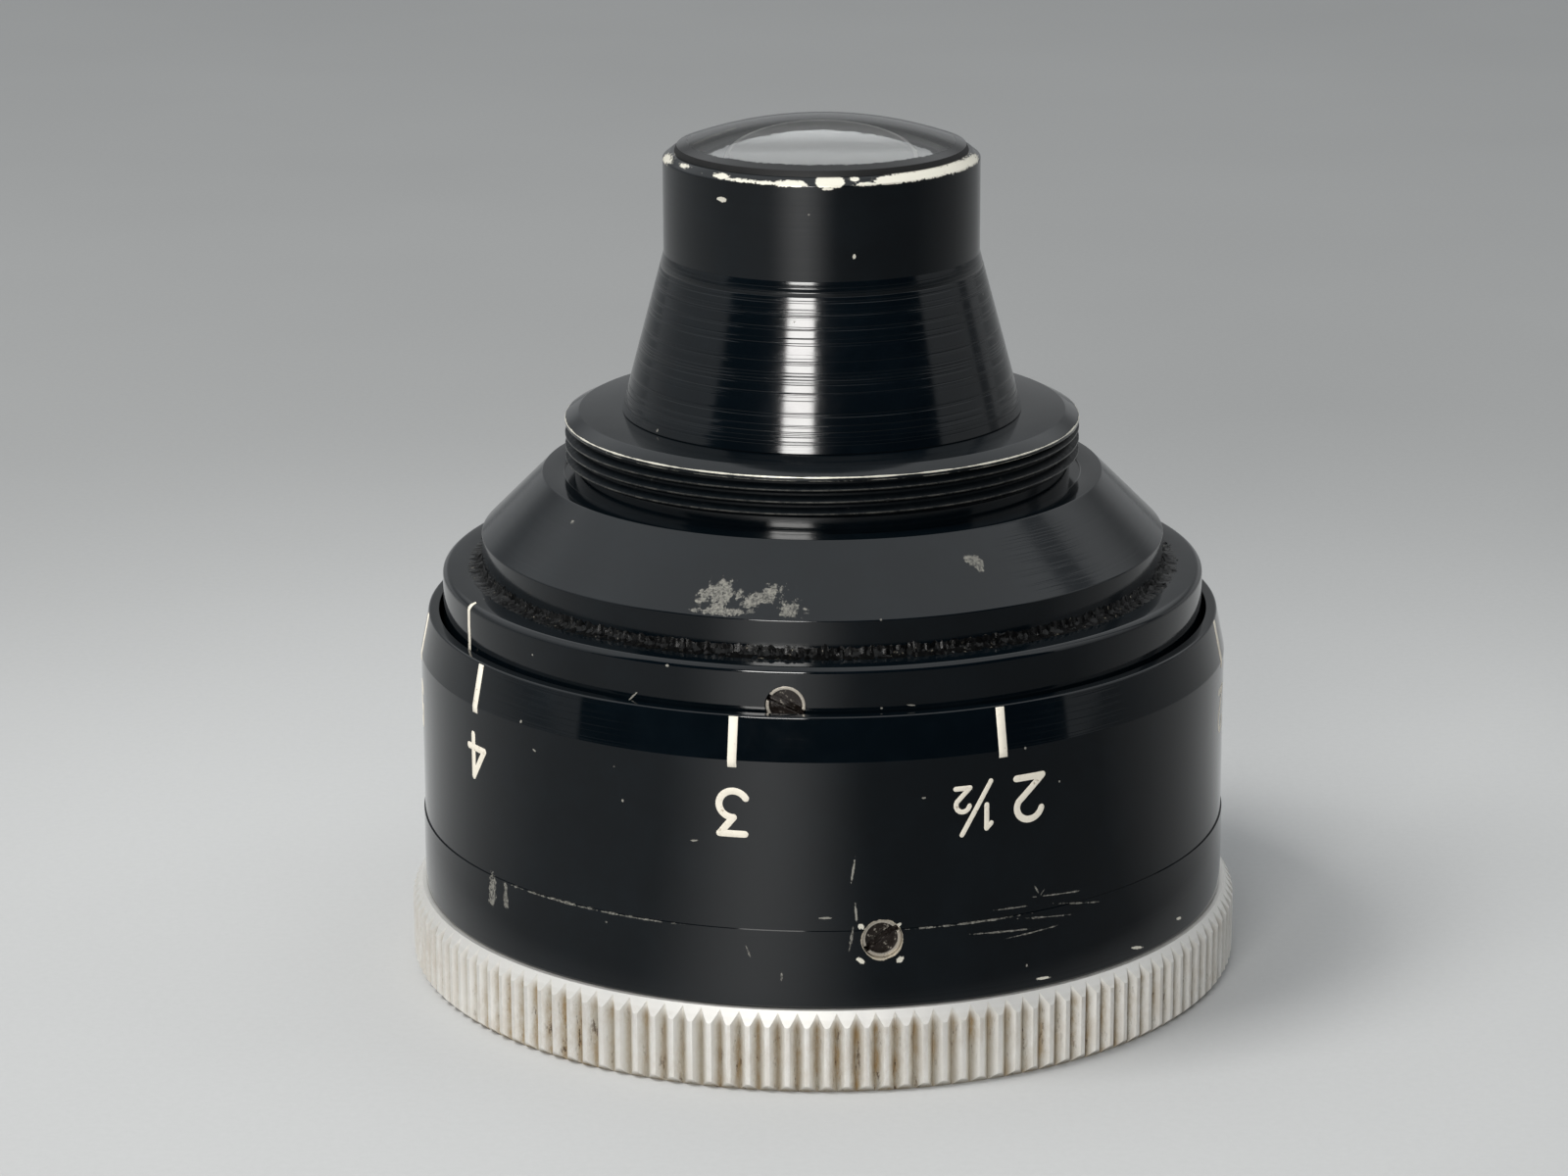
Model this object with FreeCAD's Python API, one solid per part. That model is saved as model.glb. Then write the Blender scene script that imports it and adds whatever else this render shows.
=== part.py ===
import FreeCAD, Part
import math
import os

# A wide angle converter lens, standing on its front end. The optical axis is Z, and Z = 0 is the
# foot of the knurled grip ring. All sizes are millimetres, radii are measured from the axis, and an
# angle round the axis starts at the front (-Y) and grows towards +X.

# Clearances between pieces
seat_gap = 0.03
running_gap = 0.05
side_gap = 0.05
end_gap = 0.40
stop_gap = 0.15
cement = 0.02

# Focusing helicoid: advance in one turn, and how far it turns to its two stops
focus_lead = 2.4
turn_to_far = 126.4
turn_to_near = 143.6

# Front meniscus lens, which the radii of the barrel around it start from
meniscus_r = 12.0
meniscus_rim_width = 1.8
meniscus_front_curve = 45.0
meniscus_rear_curve = 13.0
meniscus_thickness = 1.3

# Walls and steps from the cell outwards
cell_wall = 0.85
flange_ledge = 0.87
barrel_wall = 1.55
index_land_step = 0.15
index_ring_wall = 1.66
sleeve_shadow_gap = 0.19
sleeve_wall = 0.87
grip_stand_out = 0.58

# Knurled grip ring, with the front accessory thread in its mouth
grip_height = 3.47
grip_foot_chamfer = 0.35
grip_top_chamfer_width = 0.42
grip_top_chamfer_height = 0.61
knurl_count = 140
knurl_depth = 0.36
knurl_crest_share = 0.14
filter_thread_wall = 2.25
filter_thread_depth = 1.9
filter_mouth_chamfer = 0.2
grip_shoulder_thickness = 1.0
grip_spigot_length = 1.4

# Focus sleeve, which carries the distance scale
sleeve_top_below_index = 1.83
sleeve_band_height = 3.34
sleeve_step = 0.09
sleeve_cone_height = 1.8
sleeve_cone_inset = 0.37
sleeve_edge_bevel = 0.12

# Helicoid nut inside the sleeve, with the arc lug that meets the stop pin
nut_length = 5.45
nut_lug_gap = 0.35
stop_overlap = 0.85
stop_margin_deg = 0.4

# Front cell and its thrust flange
flange_thickness = 0.75
washer_thickness = 0.2
cell_setback = 0.1
cell_divider = 0.8
cell_divider_ledge = 0.8
cell_rear_rim = 0.35
retaining_ring_height = 1.0
retaining_ring_width = 0.9
spanner_slot_width = 1.2
spanner_slot_depth = 0.5

# Cemented pair behind it
pair_r = 9.0
pair_rim_width = 0.6
pair_front_curve = 30.0
pair_inner_curve = 18.0
pair_rear_curve = 80.0
pair_biconcave_thickness = 1.1
pair_positive_edge = 0.36

# Mount body: male helicoid below, index ring seat, 45 degree cone, seat face and rear thread
helicoid_relief = 0.6
body_wall_height = 1.45
mount_thread_r = 11.0
mount_seat_width = 1.0
mount_relief_depth = 0.4
mount_relief_height = 0.70
mount_undercut = 0.10
mount_thread_length = 2.65
mount_end_chamfer_width = 0.6
mount_end_chamfer_height = 0.3
mount_lead_chamfer = 0.1

# Index ring on the mount body
index_ring_height = 4.36
index_ring_bevel = 0.24
index_ring_corner_bevel = 0.14

# Nose tube, screwed into the mount body, and the lens pair burnished into its end
nose_thread_wall = 3.02
nose_foot_recess = 0.81
nose_base_ledge = 0.6
nose_cone_height = 6.85
nose_wall = 0.41
nose_tube_length = 4.0
nose_line_below = 0.6
nose_line_depth = 0.07
rim_chamfer_width = 0.34
rim_height = 0.27
rim_lip = 0.13
rim_lip_thickness = 0.10
rear_lens_ledge = 1.0
rear_lens_r = 6.27
rear_dome_curve = 15.5
rear_inner_curve = 13.0
rear_crown_edge = 0.46
rear_flint_thickness = 0.9
dome_bevel = 0.20

# Light stop in the foot of the nose tube
stop_seat_wall = 1.65
stop_seat_depth = 2.6
stop_disc_thickness = 0.5
stop_disc_width = 2.07
stop_ring_width = 1.0

# Small screws and the stop pin
screw_r = 0.80
screw_slot_width = 0.28
screw_slot_depth = 0.45
screw_recess = 0.12
screws_round = 3
index_screw_angle = -5.7
index_screw_below_top = 1.59
index_screw_tilt = 25.0
sleeve_screw_angle = 7.4
sleeve_screw_height = 2.93
sleeve_screw_tilt = -35.0
sleeve_screw_length = 1.75
guide_screw_angle = 60.0
guide_screw_above_lug = 0.6
guide_point_r = 0.50
guide_point_depth = 0.75
stop_pin_r = 0.60
stop_pin_length = 4.6
stop_pin_angle = 180.0

# Levels and radii that follow from the sizes above
travel_up = focus_lead * turn_to_far / 360
travel_down = focus_lead * turn_to_near / 360

grip_shoulder_top = filter_thread_depth + grip_shoulder_thickness
washer_top = grip_shoulder_top + washer_thickness
flange_bottom = washer_top + side_gap
flange_top = flange_bottom + flange_thickness
nut_bottom = flange_top + side_gap
nut_top = nut_bottom + nut_length
spigot_top = grip_height + grip_spigot_length
body_bottom = flange_top + travel_up + end_gap
stop_pin_bottom = nut_top + travel_up + stop_gap
lug_top = stop_pin_bottom + travel_down + stop_overlap
index_ring_bottom = lug_top + travel_up + stop_gap
index_ring_top = index_ring_bottom + index_ring_height
body_wall_top = index_ring_top + body_wall_height

meniscus_clear_r = meniscus_r - meniscus_rim_width
cell_r = meniscus_r + running_gap + cell_wall
cell_room_r = cell_r + running_gap
helicoid_r = cell_room_r + barrel_wall
nut_bore_r = helicoid_r + running_gap
flange_r = helicoid_r + flange_ledge
flange_room_r = flange_r + running_gap
body_wall_r = helicoid_r + index_land_step
index_bore_r = body_wall_r + running_gap
index_ring_r = index_bore_r + index_ring_wall
sleeve_bore_r = index_ring_r + sleeve_shadow_gap
sleeve_r = sleeve_bore_r + sleeve_wall
spigot_r = sleeve_bore_r - seat_gap
grip_r = sleeve_r + grip_stand_out
filter_thread_r = grip_r - filter_thread_wall
pair_clear_r = pair_r - pair_rim_width
nut_lug_inner_r = body_wall_r + nut_lug_gap
nut_lug_outer_r = sleeve_bore_r - nut_lug_gap
stop_pin_circle_r = (nut_lug_inner_r + nut_lug_outer_r) / 2

mount_seat_r = mount_thread_r + mount_seat_width
mount_relief_r = mount_thread_r - mount_relief_depth
nose_hole_r = mount_thread_r - nose_thread_wall
nose_spigot_r = nose_hole_r - seat_gap
nose_base_r = nose_spigot_r + nose_base_ledge
lens_bore_r = rear_lens_r + seat_gap
nose_r = lens_bore_r + nose_wall
nose_bore_r = lens_bore_r - rear_lens_ledge
stop_seat_r = nose_spigot_r - stop_seat_wall
mount_seat_z = body_wall_top + body_wall_r - mount_seat_r
mount_end_z = mount_seat_z + mount_thread_length

cell_bottom = filter_thread_depth + cell_setback
meniscus_front_z = cell_bottom + side_gap


def sag(curve, r):
    """Depth of a spherical surface between its vertex and the radius r."""
    return curve - math.sqrt(curve * curve - r * r)


meniscus_rim_z = meniscus_front_z + meniscus_thickness + sag(meniscus_rear_curve, meniscus_clear_r)
divider_top = meniscus_rim_z + cell_divider
biconcave_front_z = divider_top + sag(pair_front_curve, pair_clear_r)
biconcave_rear_z = biconcave_front_z + pair_biconcave_thickness
positive_front_z = biconcave_rear_z + cement
positive_edge_z = positive_front_z + sag(pair_inner_curve, pair_r) + pair_positive_edge
positive_rear_z = positive_edge_z + sag(pair_rear_curve, pair_r)
pair_ring_bottom = positive_rear_z - sag(pair_rear_curve, pair_r - retaining_ring_width) + cement
pair_ring_top = pair_ring_bottom + retaining_ring_height
cell_top = pair_ring_top + cell_rear_rim
body_web_z = cell_top + travel_up + end_gap

nose_foot_z = body_web_z + nose_foot_recess
nose_cone_top = mount_end_z + nose_cone_height
rim_bottom = nose_cone_top + nose_tube_length
rim_top = rim_bottom + rim_height
dome_edge_z = rim_top + cement
dome_top = dome_edge_z + sag(rear_dome_curve, rear_lens_r)
crown_front_z = dome_edge_z - rear_crown_edge - sag(rear_inner_curve, rear_lens_r)
flint_rear_z = crown_front_z - cement
flint_front_z = flint_rear_z - rear_flint_thickness

index_screw_z = index_ring_top - index_screw_below_top
sleeve_screw_z = grip_height + sleeve_screw_height
guide_screw_z = lug_top - guide_screw_above_lug


def turned(outline):
    """Solid turned about Z. A point is (r, z), or (r, z, (r, z)) where an arc through the
    second pair leads to it."""
    start = FreeCAD.Vector(outline[0][0], 0, outline[0][1])
    here = start
    edges = []
    for point in outline[1:] + outline[:1]:
        there = FreeCAD.Vector(point[0], 0, point[1])
        if len(point) == 3:
            through = FreeCAD.Vector(point[2][0], 0, point[2][1])
            edges.append(Part.Arc(here, through, there).toShape())
        else:
            edges.append(Part.LineSegment(here, there).toShape())
        here = there
    face = Part.Face(Part.Wire(edges))
    solid = face.revolve(FreeCAD.Vector(0, 0, 0), FreeCAD.Vector(0, 0, 1), 360)
    if solid.Volume < 0:
        solid.reverse()
    return solid


def tube(outer_r, inner_r, bottom, top):
    """Plain ring between two heights."""
    return turned([(inner_r, bottom), (outer_r, bottom), (outer_r, top), (inner_r, top)])


def dished_up(curve, vertex_z, r):
    """Outline point on a sphere that rises from its vertex, reached by an arc from the axis."""
    return (r, vertex_z + sag(curve, r), (r / 2, vertex_z + sag(curve, r / 2)))


def dished_down(curve, vertex_z, r):
    """Outline point on a sphere that falls from its vertex, reached by an arc from the axis."""
    return (r, vertex_z - sag(curve, r), (r / 2, vertex_z - sag(curve, r / 2)))


def back_to_axis(curve, vertex_z, r, direction):
    """Outline point at the vertex, reached by an arc from radius r. direction is the side on
    which the rim lies, 1 above the vertex and -1 below it."""
    return (0, vertex_z, (r / 2, vertex_z + direction * sag(curve, r / 2)))


def circular_edges(solid, r, z):
    """Edges of a solid that run round the axis at one radius and height."""
    found = []
    for edge in solid.Edges:
        if isinstance(edge.Curve, Part.Circle):
            middle = edge.Curve.Center
            if abs(edge.Curve.Radius - r) < 0.001 and abs(middle.z - z) < 0.001:
                found.append(edge)
    return found


def bevelled(solid, r, z, size):
    """Break the turned edge at one radius and height."""
    return solid.makeChamfer(size, circular_edges(solid, r, z))


def at_angle(shape, angle):
    """Turn a shape from the front round the axis."""
    shape.rotate(FreeCAD.Vector(0, 0, 0), FreeCAD.Vector(0, 0, 1), angle)
    return shape


def radial_hole(radius, inner_r, outer_r, z, angle):
    """Cylinder that lies along a radius, for a screw or its hole."""
    foot = FreeCAD.Vector(0, -inner_r, z)
    outwards = FreeCAD.Vector(0, -1, 0)
    return at_angle(Part.makeCylinder(radius, outer_r - inner_r, foot, outwards), angle)


def slotted_screw(inner_r, outer_r, z, angle, tilt):
    """Headless screw along a radius, with a driver slot across its outer end."""
    body = radial_hole(screw_r, inner_r, outer_r, z, 0)
    corner = FreeCAD.Vector(-2 * screw_r, -outer_r - screw_slot_depth, z - screw_slot_width / 2)
    slot = Part.makeBox(4 * screw_r, 2 * screw_slot_depth, screw_slot_width, corner)
    slot.rotate(FreeCAD.Vector(0, 0, z), FreeCAD.Vector(0, 1, 0), tilt)
    return at_angle(body.cut(slot), angle)


def round_angles(first):
    """Angles of the screws spaced evenly round the axis."""
    return [first + 360 / screws_round * number for number in range(screws_round)]


def drilled(solid, radius, inner_r, outer_r, z, first_angle):
    """Solid with one set of radial screw holes."""
    for angle in round_angles(first_angle):
        solid = solid.cut(radial_hole(radius, inner_r, outer_r, z, angle))
    return solid


def spanner_ring(outer_r, inner_r, bottom, top, slot_z):
    """Threaded ring with two spanner slots across the face at slot_z."""
    ring = tube(outer_r, inner_r, bottom, top)
    corner = FreeCAD.Vector(-spanner_slot_width / 2, -2 * outer_r, slot_z - spanner_slot_depth)
    slots = Part.makeBox(spanner_slot_width, 4 * outer_r, 2 * spanner_slot_depth, corner)
    return ring.cut(slots)


def knurl_cutter():
    """Everything outside the toothed outline of the grip ring."""
    pitch = 2 * math.pi / knurl_count
    margin = knurl_depth / 4
    corners = []
    for tooth in range(knurl_count):
        for share, r in ((-knurl_crest_share / 2, grip_r + margin),
                         (knurl_crest_share / 2, grip_r + margin),
                         (0.5, grip_r - knurl_depth)):
            angle = (tooth + share) * pitch
            corners.append(FreeCAD.Vector(r * math.sin(angle), -r * math.cos(angle), -margin))
    outline = Part.Face(Part.makePolygon(corners + corners[:1]))
    height = grip_height + 2 * margin
    teeth = outline.extrude(FreeCAD.Vector(0, 0, height))
    drum = Part.makeCylinder(grip_r + 2 * margin, height, FreeCAD.Vector(0, 0, -margin))
    return drum.cut(teeth)


def grip_ring():
    """Knurled ring: accessory thread in the mouth, shoulder for the cell, spigot for the sleeve."""
    ring = turned([
        (filter_thread_r + filter_mouth_chamfer, 0),
        (grip_r - grip_foot_chamfer, 0),
        (grip_r, grip_foot_chamfer),
        (grip_r, grip_height - grip_top_chamfer_height),
        (grip_r - grip_top_chamfer_width, grip_height),
        (spigot_r, grip_height),
        (spigot_r, spigot_top),
        (flange_room_r, spigot_top),
        (flange_room_r, grip_shoulder_top),
        (cell_room_r, grip_shoulder_top),
        (cell_room_r, filter_thread_depth),
        (filter_thread_r, filter_thread_depth),
        (filter_thread_r, filter_mouth_chamfer),
    ])
    return ring.cut(knurl_cutter())


def focus_sleeve():
    """Thin sleeve with a lower band, a plain scale band and a coned top edge."""
    bottom = grip_height
    band_top = bottom + sleeve_band_height
    top = index_ring_top - sleeve_top_below_index
    scale_r = sleeve_r - sleeve_step
    cone_r = scale_r - sleeve_cone_inset
    sleeve = turned([
        (sleeve_bore_r, bottom),
        (sleeve_r, bottom),
        (sleeve_r, band_top),
        (scale_r, band_top),
        (scale_r, top - sleeve_cone_height),
        (cone_r, top),
        (sleeve_bore_r, top),
    ])
    sleeve = bevelled(sleeve, sleeve_r, bottom, sleeve_edge_bevel)
    sleeve = bevelled(sleeve, cone_r, top, sleeve_edge_bevel)
    hole_r = screw_r + seat_gap
    return drilled(sleeve, hole_r, sleeve_bore_r - 1, sleeve_r + 1, sleeve_screw_z, sleeve_screw_angle)


def helicoid_nut():
    """Nut fixed in the sleeve: it turns on the body's helicoid and traps the cell's flange."""
    neck_r = flange_r
    nut = turned([
        (nut_bore_r, nut_bottom),
        (neck_r, nut_bottom),
        (neck_r, spigot_top + side_gap),
        (spigot_r, spigot_top + side_gap),
        (spigot_r, nut_top),
        (nut_bore_r, nut_top),
    ])
    pin_half_angle = math.degrees(math.asin(stop_pin_r / stop_pin_circle_r))
    free_angle = pin_half_angle + stop_margin_deg
    lug_first = stop_pin_angle + turn_to_near + free_angle - 360
    lug_last = stop_pin_angle - turn_to_far - free_angle
    lug_height = lug_top - nut_top
    sector = Part.makeCylinder(nut_lug_outer_r, lug_height, FreeCAD.Vector(0, 0, nut_top),
                               FreeCAD.Vector(0, 0, 1), lug_last - lug_first)
    hollow = Part.makeCylinder(nut_lug_inner_r, lug_height, FreeCAD.Vector(0, 0, nut_top))
    lug = at_angle(sector.cut(hollow), lug_first - 90)
    nut = nut.fuse(lug).removeSplitter()
    hole_r = screw_r + seat_gap
    tip_r = sleeve_r - screw_recess - sleeve_screw_length - seat_gap
    return drilled(nut, hole_r, tip_r, sleeve_r, sleeve_screw_z, sleeve_screw_angle)


def sleeve_screws():
    """Headless screws that lock the sleeve to the nut."""
    outer = sleeve_r - screw_recess
    inner = outer - sleeve_screw_length
    return Part.makeCompound([slotted_screw(inner, outer, sleeve_screw_z, angle, sleeve_screw_tilt)
                              for angle in round_angles(sleeve_screw_angle)])


def thrust_washer():
    """Bronze washer between the grip ring's shoulder and the cell's flange."""
    return tube(flange_r, cell_room_r, grip_shoulder_top, washer_top)


def front_cell():
    """Barrel of the front lenses, with the thrust flange and three guide grooves."""
    front_bore_r = meniscus_r + running_gap
    rear_bore_r = pair_r + running_gap
    divider_bore_r = pair_r - cell_divider_ledge
    cell = turned([
        (front_bore_r, cell_bottom),
        (cell_r, cell_bottom),
        (cell_r, flange_bottom),
        (flange_r, flange_bottom),
        (flange_r, flange_top),
        (cell_r, flange_top),
        (cell_r, cell_top),
        (rear_bore_r, cell_top),
        (rear_bore_r, divider_top),
        (divider_bore_r, divider_top),
        (divider_bore_r, meniscus_rim_z),
        (front_bore_r, meniscus_rim_z),
    ])
    half_width = guide_point_r + running_gap
    groove_bottom = guide_screw_z - half_width - travel_up - side_gap
    groove_top = guide_screw_z + half_width + travel_down + side_gap
    floor_r = cell_r - guide_point_depth - running_gap
    for angle in round_angles(guide_screw_angle):
        corner = FreeCAD.Vector(-half_width, -cell_r - 1, groove_bottom)
        groove = Part.makeBox(2 * half_width, cell_r + 1 - floor_r, groove_top - groove_bottom, corner)
        cell = cell.cut(at_angle(groove, angle))
    return cell


def front_lens_meniscus():
    """Negative meniscus, its weak curve to the front and its deep hollow to the rear."""
    rear_z = meniscus_front_z + meniscus_thickness
    return turned([
        (0, meniscus_front_z),
        dished_up(meniscus_front_curve, meniscus_front_z, meniscus_r),
        (meniscus_r, meniscus_rim_z),
        (meniscus_clear_r, meniscus_rim_z),
        back_to_axis(meniscus_rear_curve, rear_z, meniscus_clear_r, 1),
    ])


def front_retaining_ring():
    """Spanner ring that holds the meniscus from the front."""
    inner_r = meniscus_r - retaining_ring_width
    top = meniscus_front_z + sag(meniscus_front_curve, inner_r) - cement
    return spanner_ring(meniscus_r, inner_r, cell_bottom, top, cell_bottom)


def front_lens_biconcave():
    """Hollow-sided lens of the cemented pair."""
    return turned([
        (0, biconcave_front_z),
        dished_down(pair_front_curve, biconcave_front_z, pair_clear_r),
        (pair_r, divider_top),
        (pair_r, biconcave_rear_z + sag(pair_inner_curve, pair_r)),
        back_to_axis(pair_inner_curve, biconcave_rear_z, pair_r, 1),
    ])


def front_lens_positive():
    """Positive lens of the cemented pair."""
    return turned([
        (0, positive_front_z),
        dished_up(pair_inner_curve, positive_front_z, pair_r),
        (pair_r, positive_edge_z),
        back_to_axis(pair_rear_curve, positive_rear_z, pair_r, -1),
    ])


def pair_retaining_ring():
    """Spanner ring that holds the cemented pair from the rear."""
    inner_r = pair_r - retaining_ring_width
    return spanner_ring(pair_r, inner_r, pair_ring_bottom, pair_ring_top, pair_ring_top)


def mount_body():
    """Fixed body: helicoid and cell bore below, cone, seat face and rear thread above."""
    thread_start = mount_seat_z + mount_relief_height
    body = turned([
        (cell_room_r, body_bottom),
        (helicoid_r, body_bottom),
        (helicoid_r, index_ring_bottom - helicoid_relief),
        (body_wall_r, index_ring_bottom - helicoid_relief),
        (body_wall_r, body_wall_top),
        (mount_seat_r, mount_seat_z),
        (mount_thread_r + running_gap, mount_seat_z),
        (mount_thread_r + running_gap, mount_seat_z - mount_undercut),
        (mount_relief_r, mount_seat_z - mount_undercut),
        (mount_relief_r, thread_start - mount_lead_chamfer),
        (mount_thread_r, thread_start),
        (mount_thread_r, mount_end_z - mount_end_chamfer_height),
        (mount_thread_r - mount_end_chamfer_width, mount_end_z),
        (nose_hole_r, mount_end_z),
        (nose_hole_r, body_web_z),
        (cell_room_r, body_web_z),
    ])
    hole_r = screw_r + seat_gap
    return drilled(body, hole_r, cell_room_r - 1, helicoid_r + 1, guide_screw_z, guide_screw_angle)


def guide_screws():
    """Screws with plain points that run in the cell's grooves, so the cell slides without turning."""
    screws = []
    for angle in round_angles(guide_screw_angle):
        body = slotted_screw(cell_room_r, helicoid_r - screw_recess, guide_screw_z, angle, 0)
        point = radial_hole(guide_point_r, cell_r - guide_point_depth, cell_room_r + seat_gap,
                            guide_screw_z, angle)
        screws.append(body.fuse(point))
    return Part.makeCompound(screws)


def index_ring():
    """Ring with the index line, fixed to the body just inside the sleeve's top edge."""
    ring = tube(index_ring_r, index_bore_r, index_ring_bottom, index_ring_top)
    ring = bevelled(ring, index_ring_r, index_ring_top, index_ring_bevel)
    ring = bevelled(ring, index_bore_r, index_ring_top, index_ring_corner_bevel)
    foot = FreeCAD.Vector(0, -stop_pin_circle_r, index_ring_bottom - 1)
    depth = 1 + stop_pin_bottom + stop_pin_length + seat_gap - index_ring_bottom
    pin_hole = Part.makeCylinder(stop_pin_r + seat_gap, depth, foot)
    ring = ring.cut(at_angle(pin_hole, stop_pin_angle))
    hole_r = screw_r + seat_gap
    return drilled(ring, hole_r, body_wall_r, index_ring_r + 1, index_screw_z, index_screw_angle)


def index_ring_screws():
    """Headless screws that hold the index ring on the body."""
    inner = body_wall_r + seat_gap
    outer = index_ring_r - screw_recess
    return Part.makeCompound([slotted_screw(inner, outer, index_screw_z, angle, index_screw_tilt)
                              for angle in round_angles(index_screw_angle)])


def stop_pin():
    """Pin under the index ring that ends the sleeve's turn at both distances."""
    foot = FreeCAD.Vector(0, -stop_pin_circle_r, stop_pin_bottom)
    return at_angle(Part.makeCylinder(stop_pin_r, stop_pin_length, foot), stop_pin_angle)


def nose_tube():
    """Tapered tube with a threaded spigot below and a rim burnished over the rear lens."""
    line_z = nose_cone_top - nose_line_below
    line_r = nose_r + (nose_base_r - nose_r) * nose_line_below / nose_cone_height
    rim_r = nose_r - rim_chamfer_width
    stop_seat_z = nose_foot_z + stop_seat_depth
    return turned([
        (stop_seat_r, nose_foot_z),
        (nose_spigot_r, nose_foot_z),
        (nose_spigot_r, mount_end_z),
        (nose_base_r, mount_end_z),
        (line_r + nose_line_depth / 4, line_z - nose_line_depth),
        (line_r - nose_line_depth, line_z),
        (line_r - nose_line_depth / 4, line_z + nose_line_depth),
        (nose_r, nose_cone_top),
        (nose_r, rim_bottom),
        (rim_r, rim_top),
        (lens_bore_r - rim_lip, rim_top),
        (lens_bore_r - rim_lip, rim_top - rim_lip_thickness / 2),
        (lens_bore_r, rim_top - rim_lip_thickness - rim_lip),
        (lens_bore_r, flint_front_z),
        (nose_bore_r, flint_front_z),
        (nose_bore_r, stop_seat_z),
        (stop_seat_r, stop_seat_z),
    ])


def rear_lens_crown():
    """Domed lens that shows in the end of the nose tube."""
    edge_z = dome_edge_z - rim_lip_thickness - dome_bevel - rim_lip
    shoulder_r = rear_lens_r - dome_bevel
    shoulder_z = dome_top - sag(rear_dome_curve, shoulder_r)
    return turned([
        (0, crown_front_z),
        dished_up(rear_inner_curve, crown_front_z, rear_lens_r),
        (rear_lens_r, edge_z),
        (shoulder_r, shoulder_z),
        back_to_axis(rear_dome_curve, dome_top, shoulder_r, -1),
    ])


def rear_lens_flint():
    """Flat-backed lens cemented under the domed one."""
    return turned([
        (0, flint_front_z),
        (rear_lens_r, flint_front_z),
        (rear_lens_r, flint_rear_z + sag(rear_inner_curve, rear_lens_r)),
        back_to_axis(rear_inner_curve, flint_rear_z, rear_lens_r, 1),
    ])


def light_stop():
    """Thin disc with a round opening that keeps stray light out of the nose tube."""
    top = nose_foot_z + stop_seat_depth
    outer_r = stop_seat_r - seat_gap
    return tube(outer_r, outer_r - stop_disc_width, top - stop_disc_thickness, top)


def light_stop_ring():
    """Spanner ring that holds the light stop."""
    top = nose_foot_z + stop_seat_depth - stop_disc_thickness
    outer_r = stop_seat_r - seat_gap
    return spanner_ring(outer_r, outer_r - stop_ring_width, top - retaining_ring_height, top,
                        top - retaining_ring_height)


pieces = [
    mount_body, guide_screws, index_ring, index_ring_screws, stop_pin, nose_tube,
    rear_lens_crown, rear_lens_flint, light_stop, light_stop_ring,
    front_cell, front_lens_meniscus, front_retaining_ring, front_lens_biconcave,
    front_lens_positive, pair_retaining_ring,
    grip_ring, focus_sleeve, helicoid_nut, sleeve_screws, thrust_washer,
]

os.makedirs("parts", exist_ok=True)
for piece in pieces:
    piece().exportStep("parts/" + piece.__name__ + ".step")
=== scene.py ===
import math
import random
from functools import partial, reduce

import bpy
from mathutils import Color, Matrix, Vector


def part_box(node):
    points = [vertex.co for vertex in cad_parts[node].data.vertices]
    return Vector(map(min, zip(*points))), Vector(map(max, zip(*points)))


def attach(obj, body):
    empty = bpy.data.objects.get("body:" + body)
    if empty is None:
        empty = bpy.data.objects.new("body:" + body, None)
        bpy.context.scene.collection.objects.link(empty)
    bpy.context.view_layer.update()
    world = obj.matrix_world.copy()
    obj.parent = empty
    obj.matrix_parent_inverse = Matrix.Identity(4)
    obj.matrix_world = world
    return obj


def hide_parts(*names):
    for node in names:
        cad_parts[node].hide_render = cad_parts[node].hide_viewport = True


bl_info = {
    "name": "Wide angle converter lens",
    "version": (1, 0, 0),
    "blender": (4, 5, 0),
    "location": "3D View > Sidebar > Converter",
    "description": "Turns, knurls, engraves and finishes the pieces of a small converter lens",
    "category": "Object",
}

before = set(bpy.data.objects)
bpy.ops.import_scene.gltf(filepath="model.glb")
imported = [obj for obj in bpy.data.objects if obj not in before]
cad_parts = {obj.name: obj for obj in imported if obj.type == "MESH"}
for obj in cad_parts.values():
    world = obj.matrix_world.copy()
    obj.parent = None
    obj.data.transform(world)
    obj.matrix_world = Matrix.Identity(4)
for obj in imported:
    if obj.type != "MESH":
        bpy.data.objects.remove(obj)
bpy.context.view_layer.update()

MM = 0.001
TURN = 2 * math.pi
JOINED = 0.001 * MM

# refractive indices of the two kinds of glass
CROWN, FLINT = 1.52, 1.62

# where the first screw of each set stands, in degrees from the front
SLEEVE_SCREW, RING_SCREW = 7.4, -5.7


def lowest(node):
    """Height of a CAD node's foot in mm."""
    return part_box(node)[0].z / MM


def highest(node):
    """Height of a CAD node's top in mm."""
    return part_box(node)[1].z / MM


def outer_radius(node):
    """Largest radius of a turned CAD node in mm."""
    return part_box(node)[1].x / MM


def colour(hex_code):
    """Turn an sRGB hex value into the linear numbers that shaders use."""
    shares = [int(hex_code[at:at + 2], 16) / 255 for at in (1, 3, 5)]
    return [s / 12.92 if s <= 0.04045 else ((s + 0.055) / 1.055) ** 2.4 for s in shares]


# Sizes and colours a user may change

def size(name, default, note):
    """Property for one size in mm."""
    return bpy.props.FloatProperty(name=name, description=note + ", in mm", default=default,
                                   min=0.001, precision=3)


def tint(name, hex_code, note):
    """Property for one colour."""
    return bpy.props.FloatVectorProperty(name=name, description=note, default=colour(hex_code),
                                         subtype="COLOR", size=3, min=0.0, max=1.0)


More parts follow.
